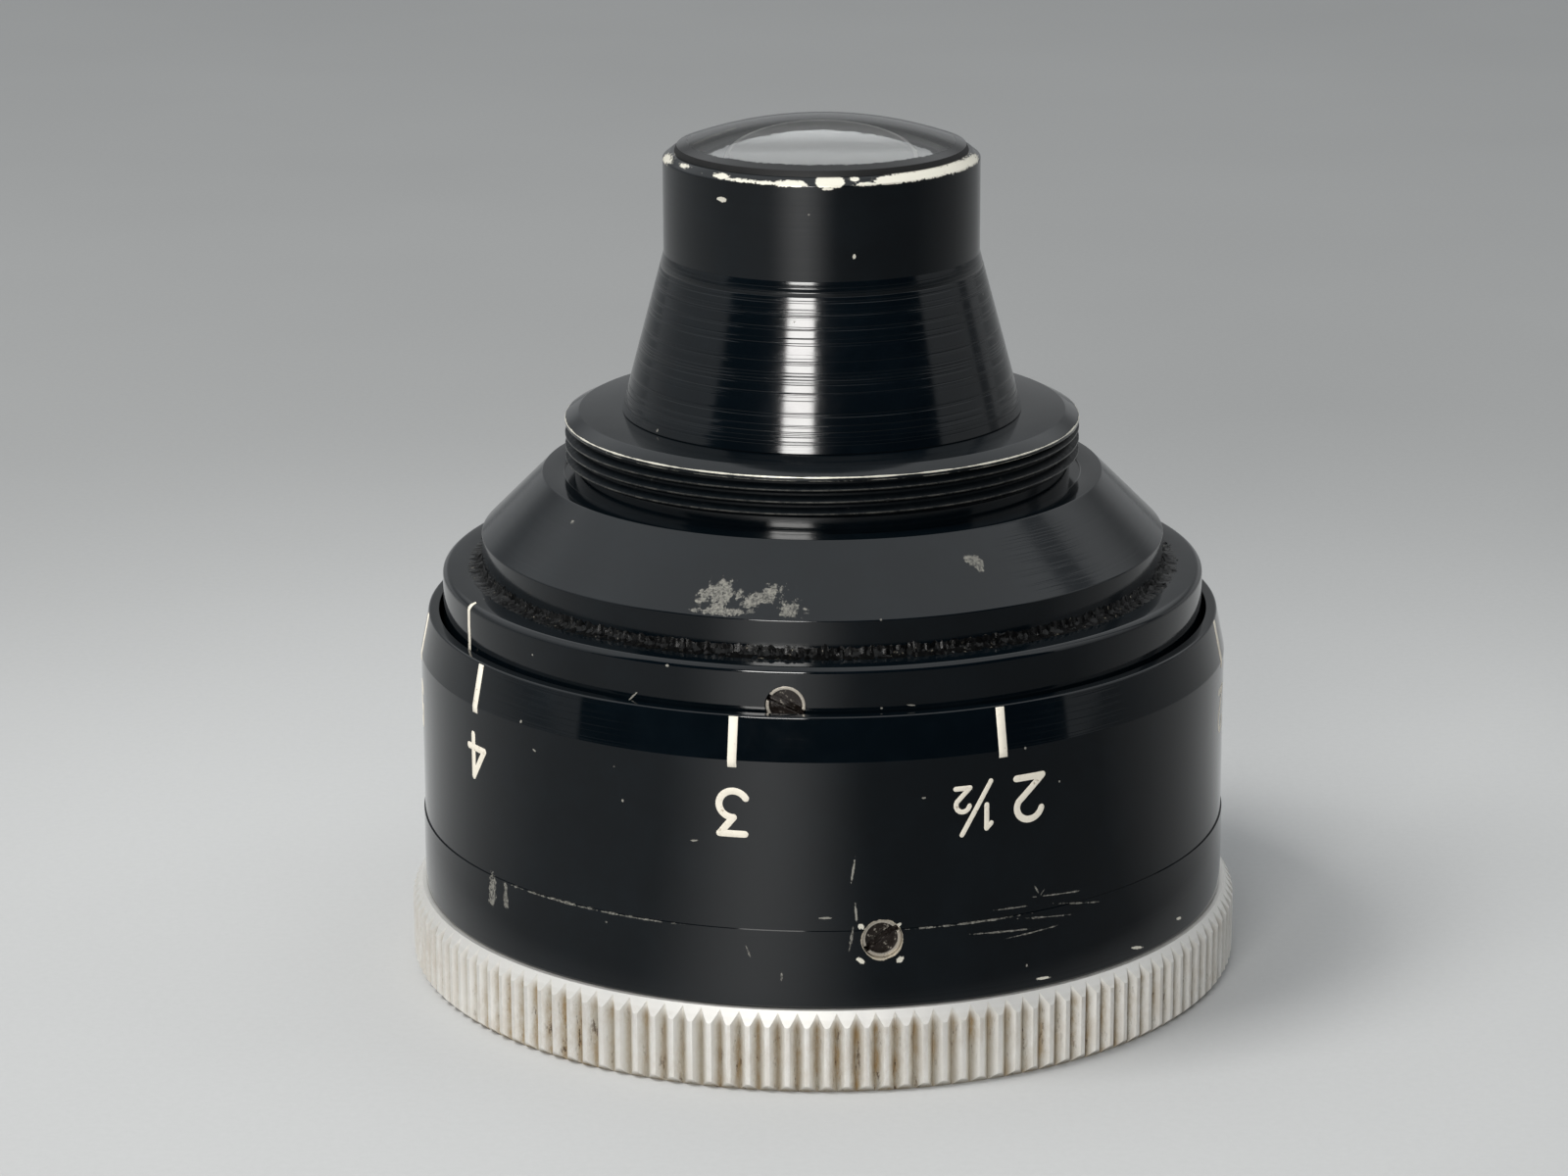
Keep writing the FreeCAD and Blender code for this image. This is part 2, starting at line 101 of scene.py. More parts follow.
class ConverterSizes(bpy.types.PropertyGroup):
    """Sizes of the details that the plain solids don't carry."""
    teeth: bpy.props.IntProperty(
        name="Teeth", description="V cuts round the grip ring", default=140, min=20, max=400)
    tooth_depth: size("Tooth depth", 0.36, "Depth of a V cut of the knurl")
    thread_pitch: size("Thread pitch", 0.5, "Pitch of the rear thread")
    thread_depth: size("Thread depth", 0.34, "Depth of the rear thread")
    front_thread_pitch: size("Front thread pitch", 0.5, "Pitch of the accessory thread")
    wall_step: size("Sleeve step", 0.05, "Step between the sleeve's lower band and its scale")
    figure_height: size("Figure height", 1.80, "Height of a distance figure")
    figure_stroke: size("Figure stroke", 0.30, "Width of an engraved stroke")
    tick_length: size("Tick length", 2.02, "Length of a distance tick")
    tick_width: size("Tick width", 0.37, "Width of a distance tick")
    paint_relief: size("Paint relief", 0.018, "How far the engraving paint stands off the lacquer")
    screw_radius: size("Screw radius", 0.80, "Radius of the headless screws")
    slot_width: size("Slot width", 0.28, "Width of a driver slot")
    slot_depth: size("Slot depth", 0.45, "Depth of a driver slot")
    grime_width: size("Grime width", 0.78, "Width of the old dirt in the body's corner")


class ConverterColours(bpy.types.PropertyGroup):
    """Colours of the finishes."""
    lacquer: tint("Lacquer", "#050A0E", "Stoved black lacquer")
    scuff: tint("Scuffs", "#86847C", "Dust, lint and rubbed lacquer")
    anodised: tint("Inner black", "#101113", "Matt black inside the barrel")
    nickel: tint("Nickel", "#F1EFEA", "Plated grip ring")
    stain: tint("Stain", "#9A835E", "Old dirt in the knurl")
    bare: tint("Bare metal", "#F2EEDF", "Metal where the lacquer is worn off")
    steel: tint("Steel", "#B8B1A5", "Small screws")
    # painted shade: dark brown for the sunk face and slot of a screw, stronger further in
    screw_recess_shade: tint("Recess shade", "#211A16", "Brown film in a screw's slot")
    engraving: tint("Engraving", "#F3ECDC", "Cream white paint in the figures")
    brass: tint("Brass", "#C79E55", "Helicoid nut")
    floor: tint("Table", "#B8B9B9", "Pale table under the lens")


def chosen(context):
    """Sizes and colours that the user has set."""
    return context.scene.converter_sizes, context.scene.converter_colours


# Shaping helpers

def choose(*pieces):
    """Select these pieces only, the first one active."""
    bpy.ops.object.select_all(action="DESELECT")
    for piece in pieces:
        piece.select_set(True)
    bpy.context.view_layer.objects.active = pieces[0]


def choose_faces(piece, test):
    """Open a piece in edit mode with only the faces selected whose centre passes a test."""
    choose(piece)
    bpy.ops.object.mode_set(mode="EDIT")
    bpy.ops.mesh.select_mode(type="FACE")
    bpy.ops.mesh.select_all(action="DESELECT")
    bpy.ops.object.mode_set(mode="OBJECT")
    for face in piece.data.polygons:
        face.select = test(face.center)
    bpy.ops.object.mode_set(mode="EDIT")


def finish_with(piece, name, kind, **settings):
    """Apply a modifier to a piece."""
    choose(piece)
    modifier = piece.modifiers.new(name, kind)
    for setting, value in settings.items():
        setattr(modifier, setting, value)
    bpy.ops.object.modifier_apply(modifier=modifier.name)


def settle(piece):
    """Bring a piece's place and turn into its mesh."""
    choose(piece)
    bpy.ops.object.transform_apply(location=True, rotation=True, scale=True)


def join(name, pieces):
    """Make one piece of several."""
    choose(*pieces)
    if len(pieces) > 1:
        bpy.ops.object.join()
    piece = bpy.context.object
    piece.name = piece.data.name = name
    return piece


def around(angle, radius, height):
    """Place in metres at an angle in degrees from the front, a radius and a height in mm."""
    turn = math.radians(angle)
    return Vector((radius * math.sin(turn), -radius * math.cos(turn), height)) * MM


def rounded(corners):
    """Outline of (radius, height) points in mm. A corner is (radius, height), or
    (radius, height, rounding) where its edge is broken, in steps of 14 degrees at most."""
    bend = math.radians(14)
    outline = []
    for number, corner in enumerate(corners):
        here = Vector(corner[:2])
        if len(corner) < 3:
            outline.append(here)
            continue
        back = (Vector(corners[number - 1][:2]) - here).normalized()
        ahead = (Vector(corners[(number + 1) % len(corners)][:2]) - here).normalized()
        half = back.angle(ahead) / 2
        reach = corner[2] / math.tan(half)
        centre = here + (back + ahead).normalized() * corner[2] / math.sin(half)
        start, end = here + back * reach - centre, here + ahead * reach - centre
        sweep = start.angle_signed(end)
        steps = max(2, math.ceil(abs(sweep) / bend))
        outline += [centre + Matrix.Rotation(-sweep * step / steps, 2) @ start
                    for step in range(steps + 1)]
    return outline


def trace(name, outline, closed):
    """Put down one point and extrude it along an outline in the X-Z plane."""
    bpy.ops.object.select_all(action="DESELECT")
    bpy.ops.mesh.primitive_plane_add(size=MM, location=(0, 0, 0))
    piece = bpy.context.object
    piece.name = piece.data.name = name
    bpy.ops.object.mode_set(mode="EDIT")
    bpy.ops.mesh.select_all(action="SELECT")
    bpy.ops.mesh.merge(type="CENTER")
    path = [Vector(point) for point in outline]
    bpy.ops.transform.translate(value=(path[0].x * MM, 0, path[0].y * MM))
    for start, end in zip(path, path[1:] + path[:1] * closed):
        step = end - start
        bpy.ops.mesh.extrude_region_move(
            TRANSFORM_OT_translate={"value": (step.x * MM, 0, step.y * MM)})
    return piece


def turned(name, outline, steps, closed=True):
    """Turn an outline round the optical axis, as on a lathe."""
    piece = trace(name, outline, closed)
    bpy.ops.mesh.select_all(action="SELECT")
    bpy.ops.mesh.spin(steps=steps, angle=TURN, center=(0, 0, 0), axis=(0, 0, 1))
    bpy.ops.mesh.select_all(action="SELECT")
    bpy.ops.mesh.remove_doubles(threshold=JOINED)
    bpy.ops.mesh.normals_make_consistent(inside=False)
    bpy.ops.object.mode_set(mode="OBJECT")
    return piece


def helix(name, outline, pitch, turns, steps):
    """Turn an outline round the axis along a screw line, and close its ends."""
    ridge = trace(name, outline, closed=True)
    bpy.ops.mesh.select_all(action="SELECT")
    bpy.ops.mesh.remove_doubles(threshold=JOINED)
    bpy.ops.object.mode_set(mode="OBJECT")
    finish_with(ridge, "Thread", "SCREW", axis="Z", angle=TURN, screw_offset=pitch * MM,
                iterations=turns, steps=steps, render_steps=steps)
    bpy.ops.object.mode_set(mode="EDIT")
    bpy.ops.mesh.select_all(action="SELECT")
    bpy.ops.mesh.fill_holes(sides=0)
    bpy.ops.mesh.select_all(action="SELECT")
    bpy.ops.mesh.normals_make_consistent(inside=False)
    bpy.ops.object.mode_set(mode="OBJECT")
    return ridge


def smooth(piece, angle, even=True):
    """Smooth the turned faces, keep the sharp edges, and keep flats flat next to broken edges."""
    choose(piece)
    bpy.ops.object.shade_smooth_by_angle(angle=math.radians(angle))
    if even:
        finish_with(piece, "Even shading", "WEIGHTED_NORMAL", keep_sharp=True)


def drill(piece, radius, angle, centre_radius, height):
    """Drill three holes along a radius, 120 degrees apart."""
    for turn in range(3):
        place = angle + 120 * turn
        bpy.ops.object.select_all(action="DESELECT")
        bpy.ops.mesh.primitive_cylinder_add(
            vertices=48, radius=radius * MM, depth=2.4 * MM,
            location=around(place, centre_radius, height),
            rotation=(math.pi / 2, 0, math.radians(place)))
        cut(piece, bpy.context.object)


def cut(piece, cutter):
    """Cut one shape out of a piece, and throw the cutter away."""
    finish_with(piece, "Cut", "BOOLEAN", operation="DIFFERENCE", solver="EXACT", object=cutter)
    bpy.data.objects.remove(cutter)


def paint(piece, finish, *places):
    """Give a piece its finish all over, and then others where their test of a face's radius,
    height and normal is passed."""
    piece.data.materials.clear()
    piece.data.materials.append(finish)
    for number, (other, test) in enumerate(places, 1):
        piece.data.materials.append(other)
        for face in piece.data.polygons:
            x, y, z = face.center / MM
            if test(math.hypot(x, y), z, face.normal):
                face.material_index = number


def hand_over(piece, body, slot, *nodes):
    """Say what a piece rides on and what it stands for. Its slot, where its finish comes from, is not
    used.
    """
    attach(piece, body)
    if nodes:
        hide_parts(*nodes)


# Shader helpers

def give(node, inputs):
    """Give a node its inputs, in order or by name: numbers, colours or other nodes' outputs."""
    if not isinstance(inputs, dict):
        inputs = dict(zip([number for number, s in enumerate(node.inputs) if s.enabled], inputs))
    for key, value in inputs.items():
        if isinstance(value, bpy.types.NodeSocket):
            node.id_data.links.new(value, node.inputs[key])
            continue
        if isinstance(value, str):
            value = Color(colour(value))
        if isinstance(value, Color):
            value = (*value, 1.0)
        node.inputs[key].default_value = value


def add_node(tree, kind, inputs=(), out="", **settings):
    """Add a node, set its settings and give its inputs. Its kind may be followed by its
    operation, or by what it mixes. Returns the output asked for, else its first one in use."""
    kind, _, mode = kind.partition(" ")
    made = tree.nodes.new("ShaderNode" + kind)
    if mode:
        settings["data_type" if kind == "Mix" else "operation"] = mode
    for name, value in settings.items():
        setattr(made, name, value)
    give(made, inputs)
    return made.outputs[out] if out else next(o for o in made.outputs if o.enabled)


def new_finish(name):
    """New material, its shader, and the function that adds its nodes."""
    material = bpy.data.materials.new(name)
    material.use_nodes = True
    tree = material.node_tree
    return material, tree.nodes["Principled BSDF"], partial(add_node, tree)


def combined(add, operation, *values):
    """Fold values into one, two at a time."""
    return reduce(lambda total, value: add("Math " + operation, (total, value)), values)


def surface_parts(add):
    """Place on the piece, its radius and its height, in mm."""
    metres = add("TexCoord", out="Object")
    place = add("VectorMath SCALE", (metres, 1 / MM))
    flat = add("VectorMath MULTIPLY", (place, (1, 1, 0)))
    return place, add("VectorMath LENGTH", (flat,)), add("SeparateXYZ", (place,), out="Z")


def bearing(add, place):
    """Angle in degrees round the lens from the viewer's side, to the right."""
    across = add("SeparateXYZ", (place,))
    ahead = add("Math MULTIPLY", (across.node.outputs["Y"], -1.0))
    turn = add("Math ARCTAN2", (across, ahead))
    return add("Math DEGREES", (turn,))


def noise(place, lump, detail, roughness):
    """Inputs of cloudy noise whose lumps are this many mm across."""
    return place, 1 / lump, detail, roughness


def worn_place(add, place, rag, angle, radius, height, half_width, half_height, tilt, rough):
    """Mask of one worn place: an ellipse on the surface with a ragged edge."""
    local = add("Mapping", (place, around(angle, radius, height) / MM,
                            (0, math.radians(tilt), math.radians(angle)),
                            (half_width, 2.0, half_height)), vector_type="TEXTURE")
    reach = add("VectorMath LENGTH", (local,))
    reach = add("Math MULTIPLY_ADD", (rag, rough * 2, reach))
    return add("MapRange", (reach, 1.06, 0.92))


def worn_edge(add, own_radius, own_height, rag, radius, height, width, share):
    """Mask of a turned edge where the finish is worn through on a share of its length."""
    across = add("Math SUBTRACT", (own_radius, radius))
    along = add("Math SUBTRACT", (own_height, height))
    offset = add("CombineXYZ", (across, along))
    reach = add("VectorMath LENGTH", (offset,))
    reach = add("Math DIVIDE", (reach, width))
    reach = add("Math MULTIPLY_ADD", (rag, 2.2, reach))
    return add("MapRange", (reach, 0.25 + share * 1.5, 0.17 + share * 1.5))


def bump_of(height, strength, depth, **under):
    """Inputs of a bump whose full height is this many mm."""
    return {"Height": height, "Strength": strength, "Distance": depth * MM, **under}


# Finishes

def black_lacquer(name, colours, places=(), edges=(), pale_places=(), scuffs=(),
                  tool_lines=0.1, line_pitch=0.22, lined=(0, 100), softness=0.05):
    """Stoved black lacquer on turned brass. It is near black and glossy, so what the eye sees is
    mostly what it mirrors, broken by the tool lines under it, dust, scratches and worn edges."""
    material, shader, add = new_finish(name)
    place, radius, height = surface_parts(add)
    fine = add("TexNoise", noise(place, 0.13, 4.0, 0.75))
    rag = add("MapRange", (fine, 0.2, 0.8, -1.0, 1.0))
    slow = add("TexNoise", noise(place, 1.6, 5.0, 0.65))
    slow_rag = add("Math SUBTRACT", (slow, 0.5))
    masks = [worn_place(add, place, rag, *spot) for spot in places]
    masks += [worn_edge(add, radius, height, slow_rag, *edge) for edge in edges]
    worn = combined(add, "MAXIMUM", *masks) if masks else None

    # dust and lint: cells 2.6 mm apart, of which some hold a grain about 0.1 mm across
    grain = add("TexVoronoi", (place, 1 / 2.6), out="Distance")
    chance = add("SeparateColor", (grain.node.outputs["Color"],))
    keep = add("Math GREATER_THAN", (chance, 0.5))
    grain = add("Math MULTIPLY_ADD", (rag, 0.012, grain))
    dust = add("MapRange", (grain, 0.024, 0.014))
    pale = combined(add, "MULTIPLY", dust, keep, 0.6)
    lint = [worn_place(add, place, rag, *spot) for spot in pale_places]
    pale = combined(add, "MAXIMUM", pale, *lint)
    if scuffs:
        flakes = add("TexNoise", noise(place, 0.13, 4.0, 0.8))
        flakes = add("MapRange", (flakes, 0.40, 0.62, 0.15, 1.0))
        torn = add("TexNoise", noise(place, 0.45, 5.0, 0.75))
        torn = add("MapRange", (torn, 0.3, 0.7, -1.0, 1.0))
        rubbed = combined(add, "MAXIMUM",
                          *[worn_place(add, place, torn, *spot) for spot in scuffs])
        rubbed = add("Math MULTIPLY", (rubbed, flakes))
        pale = add("Math MAXIMUM", (pale, rubbed))

    film = add("TexNoise", noise(place, 3.0, 6.0, 0.7))
    film = add("MapRange", (film, 0.45, 0.75))
    dull = Color([c * 1.5 + 0.0005 for c in colours.lacquer])
    tone = add("Mix RGBA", (film, colours.lacquer, dull))
    tone = add("Mix RGBA", (pale, tone, colours.scuff))
    cloud = add("TexNoise", noise(place, 1.4, 5.0, 0.7))
    gloss = add("MapRange", (cloud, 0.3, 0.8, softness, softness + 0.06))
    gloss = add("Math MAXIMUM", (gloss, add("Math MULTIPLY", (pale, 0.7))))
    if worn:
        tone = add("Mix RGBA", (worn, tone, colours.bare))
        gloss = add("Math MAXIMUM", (gloss, add("Math MULTIPLY", (worn, 0.42))))
        give(shader, {"Metallic": add("Math MULTIPLY", (worn, 0.55))})

    # grooves left by the tool: flat lands with a narrow groove here and there
    turns = add("Math DIVIDE", (height, line_pitch))
    lines = add("TexNoise", (turns, 1.0, 2.0, 0.7), noise_dimensions="1D")
    lines = add("MapRange", (lines, 0.36, 0.47))
    start = add("MapRange", (height, lined[0], lined[0] + 0.2, 0.1, 1.0))
    end = add("MapRange", (height, lined[1] + 0.2, lined[1], 0.15, 1.0))
    lines = combined(add, "MULTIPLY", lines, start, end)
    bump = add("Bump", bump_of(lines, tool_lines, 0.02))
    peel = add("TexNoise", noise(place, 0.9, 2.0, 0.5))
    bump = add("Bump", bump_of(peel, 0.2, 0.004, Normal=bump))
    if worn:
        bump = add("Bump", bump_of(worn, 0.6, 0.02, Normal=bump), invert=True)
    give(shader, {"Base Color": tone, "Roughness": gloss, "Normal": bump, "IOR": 1.5})
    return material


def mottled(name, lumps, share, tones, rough=(), bump=(), rings=0.0, fixed=()):
    """Finish whose tone and gloss follow one cloudy noise, spread over the ranges share and
    rough, with a bump of the noise or of a lathe's rings at a pitch in mm."""
    material, shader, add = new_finish(name)
    place, radius, height = surface_parts(add)
    cloud = add("TexNoise", noise(place, *lumps))
    blend = add("MapRange", (cloud, *share)) if share else cloud
    give(shader, {"Base Color": add("Mix RGBA", (blend, *tones)), **dict(fixed)})
    if rough:
        give(shader, {"Roughness": add("MapRange", (cloud, *rough))})
    if rings:
        turns = add("Math ADD", (height, radius))
        turns = add("Math DIVIDE", (turns, rings))
        cloud = add("TexNoise", (turns, 1.0, 2.0), noise_dimensions="1D")
    if bump:
        give(shader, {"Normal": add("Bump", bump_of(cloud, *bump))})
    return material


def painted_shade_thread(name, colours):
    """Lacquer down in the thread, mottled grey in places and rough, with its reflection turned down as
    painted shade, so that it mirrors hardly anything.
    """
    # painted shade: Specular IOR Level 0.22 darkens the grooves of the thread
    return mottled(name, (0.3, 4.0, 0.7), (0.68, 0.76, 0.0, 0.5), (colours.lacquer, colours.scuff),
                   (0.3, 0.7, 0.35, 0.6), (0.4, 0.02), fixed={"Specular IOR Level": 0.22})


def grey_crest(name, colours):
    """Crests of the thread: a dull grey line, lighter than the lacquer and a little metallic."""
    return mottled(name, (0.7, 5.0, 0.7), (0.4, 0.7, 0.03, 0.35), (colours.lacquer, colours.scuff),
                   (0.3, 0.7, 0.18, 0.36), fixed={"Metallic": 0.4})


def inner_black(name, colours, low, high):
    """Black anodised inside of the barrel: matt, with faint turning marks."""
    return mottled(name, (1.2, 4.0, 0.6), (), (colours.anodised, colours.anodised * 1.8),
                   (0.2, 0.8, low, high), (0.4, 0.01), rings=0.12)


def turned_brass(name, colours):
    """Bare brass of the helicoid nut and washer, with fine lathe rings."""
    return mottled(name, (2.0, 4.0, 0.6), (), (colours.brass, colours.brass * 0.6),
                   (0.2, 0.8, 0.25, 0.42), (0.5, 0.01), rings=0.1, fixed={"Metallic": 1.0})


def corner_dirt(name):
    """Dried oil, lint and metal dust: black wet-looking crumbs with pale grains among them."""
    return mottled(name, (0.3, 4.0, 0.8), (0.66, 0.70), ("#030303", "#A49C8C"),
                   (0.3, 0.7, 0.16, 0.45), (0.6, 0.05), fixed={"Specular IOR Level": 0.3})


def edge_black(name):
    """Matt black paint on a lens's edge."""
    return mottled(name, (0.4, 3.0, 0.7), (), ("#050505", "#141414"), fixed={"Roughness": 0.6})


def satin_nickel(name, colours, crest, valley, top):
    """Dull nickel plate on the knurled ring, white on its crests and greyer towards the bottom of
    the V cuts as painted shade, with old brown dirt between the teeth and grey mottling where
    fingers have worn it."""
    material, shader, add = new_finish(name)
    place, radius, height = surface_parts(add)
    below = add("MapRange", (height, top - 0.30, top - 0.75))
    depth = add("MapRange", (radius, crest - 0.06, valley + 0.06))
    depth = add("Math MULTIPLY", (depth, below))
    broad = add("TexNoise", noise(place, 4.5, 4.0, 0.6))
    patches = add("MapRange", (broad, 0.36, 0.58, 0.25, 1.0))
    streaks = add("VectorMath MULTIPLY", (place, (1, 1, 0.35)))
    film = add("TexNoise", noise(streaks, 0.5, 5.0, 0.75))
    film = add("MapRange", (film, 0.38, 0.60))
    stain = combined(add, "MULTIPLY", depth, film, patches)
    smear = combined(add, "MULTIPLY", film, patches, below, 0.30)
    stain = add("Math MAXIMUM", (stain, smear))
    pits = add("TexNoise", noise(streaks, 0.24, 4.0, 0.75))
    pits = add("MapRange", (pits, 0.58, 0.66))
    pits = combined(add, "MULTIPLY", pits, depth, patches)
    # painted shade: the nickel turns grey towards the bottom of each V cut, by depth alone
    shade = add("Math MULTIPLY", (depth, 0.9))
    tone = add("Mix RGBA", (shade, colours.nickel, "#BDB8AC"))
    tone = add("Mix RGBA", (stain, tone, colours.stain))
    tone = add("Mix RGBA", (pits, tone, "#4A3520"))
    cloud = add("TexNoise", noise(place, 0.8, 4.0, 0.7))
    rough = add("TexNoise", noise(streaks, 0.09, 4.0, 0.7))
    give(shader, {"Base Color": tone,
                  "Metallic": add("MapRange", (stain, 0.0, 1.0, 0.75, 0.2)),
                  "Roughness": add("MapRange", (cloud, 0.3, 0.7, 0.38, 0.55)),
                  "Normal": add("Bump", bump_of(rough, 0.5, 0.01))})
    return material


def old_steel(name, colours, outer):
    """Steel of the small screws, bright on the rim, with dark brown painted shade down in the sunk
    face and slot.
    """
    material, shader, add = new_finish(name)
    place, radius, _ = surface_parts(add)
    cloud = add("TexNoise", noise(place, 0.22, 4.0, 0.7))
    uneven = add("Math MULTIPLY_ADD", (cloud, 0.16, radius))
    # painted shade: dark brown further into the sunk face and slot, lighter in spots
    painted_recess_shade = add("MapRange", (uneven, outer - 0.06, outer + 0.03, 1.0, 0.0))
    spots = add("MapRange", (cloud, 0.58, 0.66, 1.0, 0.25))
    painted_recess_shade = add("Math MULTIPLY", (painted_recess_shade, spots))
    give(shader, {"Base Color": add("Mix RGBA", (painted_recess_shade, colours.steel, colours.screw_recess_shade)),
                  "Metallic": add("MapRange", (painted_recess_shade, 0.0, 1.0, 0.45, 0.3)),
                  "Roughness": add("MapRange", (cloud, 0.3, 0.7, 0.22, 0.42)),
                  "Normal": add("Bump", bump_of(cloud, 0.6, 0.03))})
    return material


def engraving_paint(name, colours):
    """Cream oil paint rubbed into the engraving: matt, a little uneven, with brown flecks where
    it has come out."""
    material, shader, add = new_finish(name)
    place = surface_parts(add)[0]
    cloud = add("TexNoise", noise(place, 0.5, 3.0, 0.6))
    flecks = add("TexNoise", noise(place, 0.22, 4.0, 0.75))
    lost = add("MapRange", (flecks, 0.60, 0.70, 0.0, 0.8))
    tone = add("Mix RGBA", (cloud, colours.engraving, colours.engraving * 0.82))
    give(shader, {"Base Color": add("Mix RGBA", (lost, tone, "#7A6143")),
                  "Roughness": add("MapRange", (cloud, 0.2, 0.8, 0.45, 0.65)),
                  "Normal": add("Bump", bump_of(flecks, 0.4, 0.02))})
    return material


def optical_glass(name, index, tone):
    """Polished optical glass, clear, with a trace of dust that dulls it. Gives what new_finish
    does."""
    material, shader, add = new_finish(name)
    dust = add("TexNoise", noise(surface_parts(add)[0], 0.8, 5.0, 0.7))
    give(shader, {"Base Color": tone, "Transmission Weight": 1.0, "IOR": index,
                  "Roughness": add("MapRange", (dust, 0.5, 0.9, 0.0, 0.05))})
    return material, shader, add


def show(material, surface):
    """Give a material's surface another shader."""
    give(material.node_tree.nodes["Material Output"], {"Surface": surface})
    return material


def painted_dome(name, index, tone, clear):
    """Polished dome whose border is black from outside. From inside, a ragged black line shows
    where the black starts, and beyond it the pale ground glass under the metal rim."""
    material, glass, add = optical_glass(name, index, tone)
    place, radius, _ = surface_parts(add)
    chips = add("TexNoise", noise(place, 0.3, 4.0, 0.8))
    ragged = add("MapRange", (chips, 0.3, 0.7, -0.07, 0.07))
    ragged = add("Math ADD", (ragged, radius))
    border = add("MapRange", (ragged, clear - 0.01, clear + 0.01))
    outside = add("BsdfPrincipled", {"Base Color": "#08090A", "Roughness": 0.12})
    inside = add("BsdfDiffuse", {"Color": "#9A9C9A"})
    beyond = add("MapRange", (ragged, clear + 0.14, clear + 0.16))
    within = add("NewGeometry", out="Backfacing")
    pale = add("Math MULTIPLY", (beyond, within))
    coat = add("MixShader", (pale, outside, inside))
    return show(material, add("MixShader", (border, glass.outputs[0], coat)))


def painted_reflection_back(name, index, tone, ring):
    """Flat back of the rear lens, with a faint white film in the middle that ends in a ring, a painted
    reflection of the next lens.
    """
    material, glass, add = optical_glass(name, index, tone)
    radius = surface_parts(add)[1]
    # painted reflection: a faint white film and a brighter ring, standing in for the image of the next
    # lens
    film = add("MapRange", (radius, ring - 0.02, ring + 0.02, 0.10, 0.0))
    inner = add("MapRange", (radius, ring - 0.16, ring - 0.12))
    outer = add("MapRange", (radius, ring + 0.02, ring))
    line = combined(add, "MULTIPLY", inner, outer, 0.22)
    film = add("Math MAXIMUM", (film, line))
    dust = add("BsdfDiffuse", {"Color": "#F4F4F0"})
    return show(material, add("MixShader", (film, glass.outputs[0], dust)))


def clear_cement(name):
    """Cement between two lenses: light passes straight through."""
    material, shader, add = new_finish(name)
    material.node_tree.nodes.remove(shader)
    return show(material, add("BsdfTransparent"))


# Lens surfaces

def sag(curve, radius):
    """Depth of a spherical surface between its vertex and a radius."""
    return curve - math.sqrt(curve * curve - radius * radius)


def bowl(curve, vertex, radius, side, steps=20):
    """Points of a spherical surface from the axis to its rim, which lies above (side 1) or
    below (side -1) its vertex."""
    return [(radius * step / steps, vertex + side * sag(curve, radius * step / steps))
            for step in range(steps + 1)]


def lens(name, front, rear, rim=()):
    """Lens from the points of its front surface, its rim and its rear surface."""
    piece = turned(name, front + list(rim) + rear[::-1], steps=160, closed=False)
    smooth(piece, 25, even=False)
    return piece


# Engraved strokes, in units of the figure's height, upright, with x to the right

def arc(centre_x, centre_y, radius, first, last, squash=1.0, steps=16):
    """Points of an arc, angles in degrees counter-clockwise from the right."""
    turns = [math.radians(first + (last - first) * step / steps) for step in range(steps + 1)]
    return [(centre_x + radius * squash * math.cos(turn), centre_y + radius * math.sin(turn))
            for turn in turns]


FIGURES = {
    "0": [arc(0, 0.5, 0.5, 90, 450, 0.62, 32)],
    "1": [[(-0.14, 0.80), (0.06, 1.0), (0.06, 0.0)]],
    "2": [arc(0, 0.70, 0.30, 165, -30, 0.98) + [(-0.30, 0.0), (0.31, 0.0)]],
    "3": [[(-0.28, 1.0), (0.29, 1.0), (-0.02, 0.62)] + arc(-0.02, 0.31, 0.31, 80, -150, 1.05, 20)],
    "4": [[(0.12, 0.0), (0.12, 1.0), (-0.36, 0.30), (0.32, 0.30)]],
    "5": [[(0.26, 1.0), (-0.20, 1.0), (-0.24, 0.56)] + arc(-0.02, 0.32, 0.32, 130, -150, 1.0, 20)],
    "7": [[(-0.30, 1.0), (0.30, 1.0), (-0.08, 0.0)]],
    "/": [[(-0.26, -0.04), (0.26, 1.04)]],
    "inf": [arc(-0.32, 0.5, 0.26, 45, 315, 1.15, 20) + arc(0.32, 0.5, 0.26, -135, 135, 1.15, 20)
            + [(-0.32 + 0.26 * 1.15 * 0.707, 0.5 + 0.26 * 0.707)]],
}


def stroke(points, width, relief):
    """One engraved stroke with round ends, flat in the X-Z plane, facing -Y. Points in mm, with
    more set between them, so that it can follow the round wall."""
    path = [Vector(points[0])]
    for corner in points[1:]:
        start, run = path[-1], Vector(corner) - path[-1]
        parts = max(1, round(run.length / 0.2))
        path += [start + run * part / parts for part in range(1, parts + 1)]
    first = (path[0] - path[1]).normalized() * width / 2
    last = (path[-1] - path[-2]).normalized() * width / 2
    ends = [(math.cos(math.radians(a)), math.sin(math.radians(a))) for a in (8, 30, 60)]
    spots = [(path[0] + first * reach, thick) for reach, thick in ends]
    spots += [(point, 1.0) for point in path]
    spots += [(path[-1] + last * reach, thick) for reach, thick in reversed(ends)]
    line = bpy.data.curves.new("stroke", "CURVE")
    line.dimensions = "3D"
    line.bevel_depth = width / 2 * MM
    line.bevel_resolution = 3
    line.use_fill_caps = True
    spline = line.splines.new("POLY")
    spline.points.add(len(spots) - 1)
    for point, (place, thick) in zip(spline.points, spots):
        point.co = (place.x * MM, 0, place.y * MM, 1)
        point.radius = thick
    piece = bpy.data.objects.new("stroke", line)
    bpy.context.scene.collection.objects.link(piece)
    choose(piece)
    bpy.ops.object.convert(target="MESH")
    piece = bpy.context.object
    piece.scale.y = relief / (width / 2)
    settle(piece)
    return piece


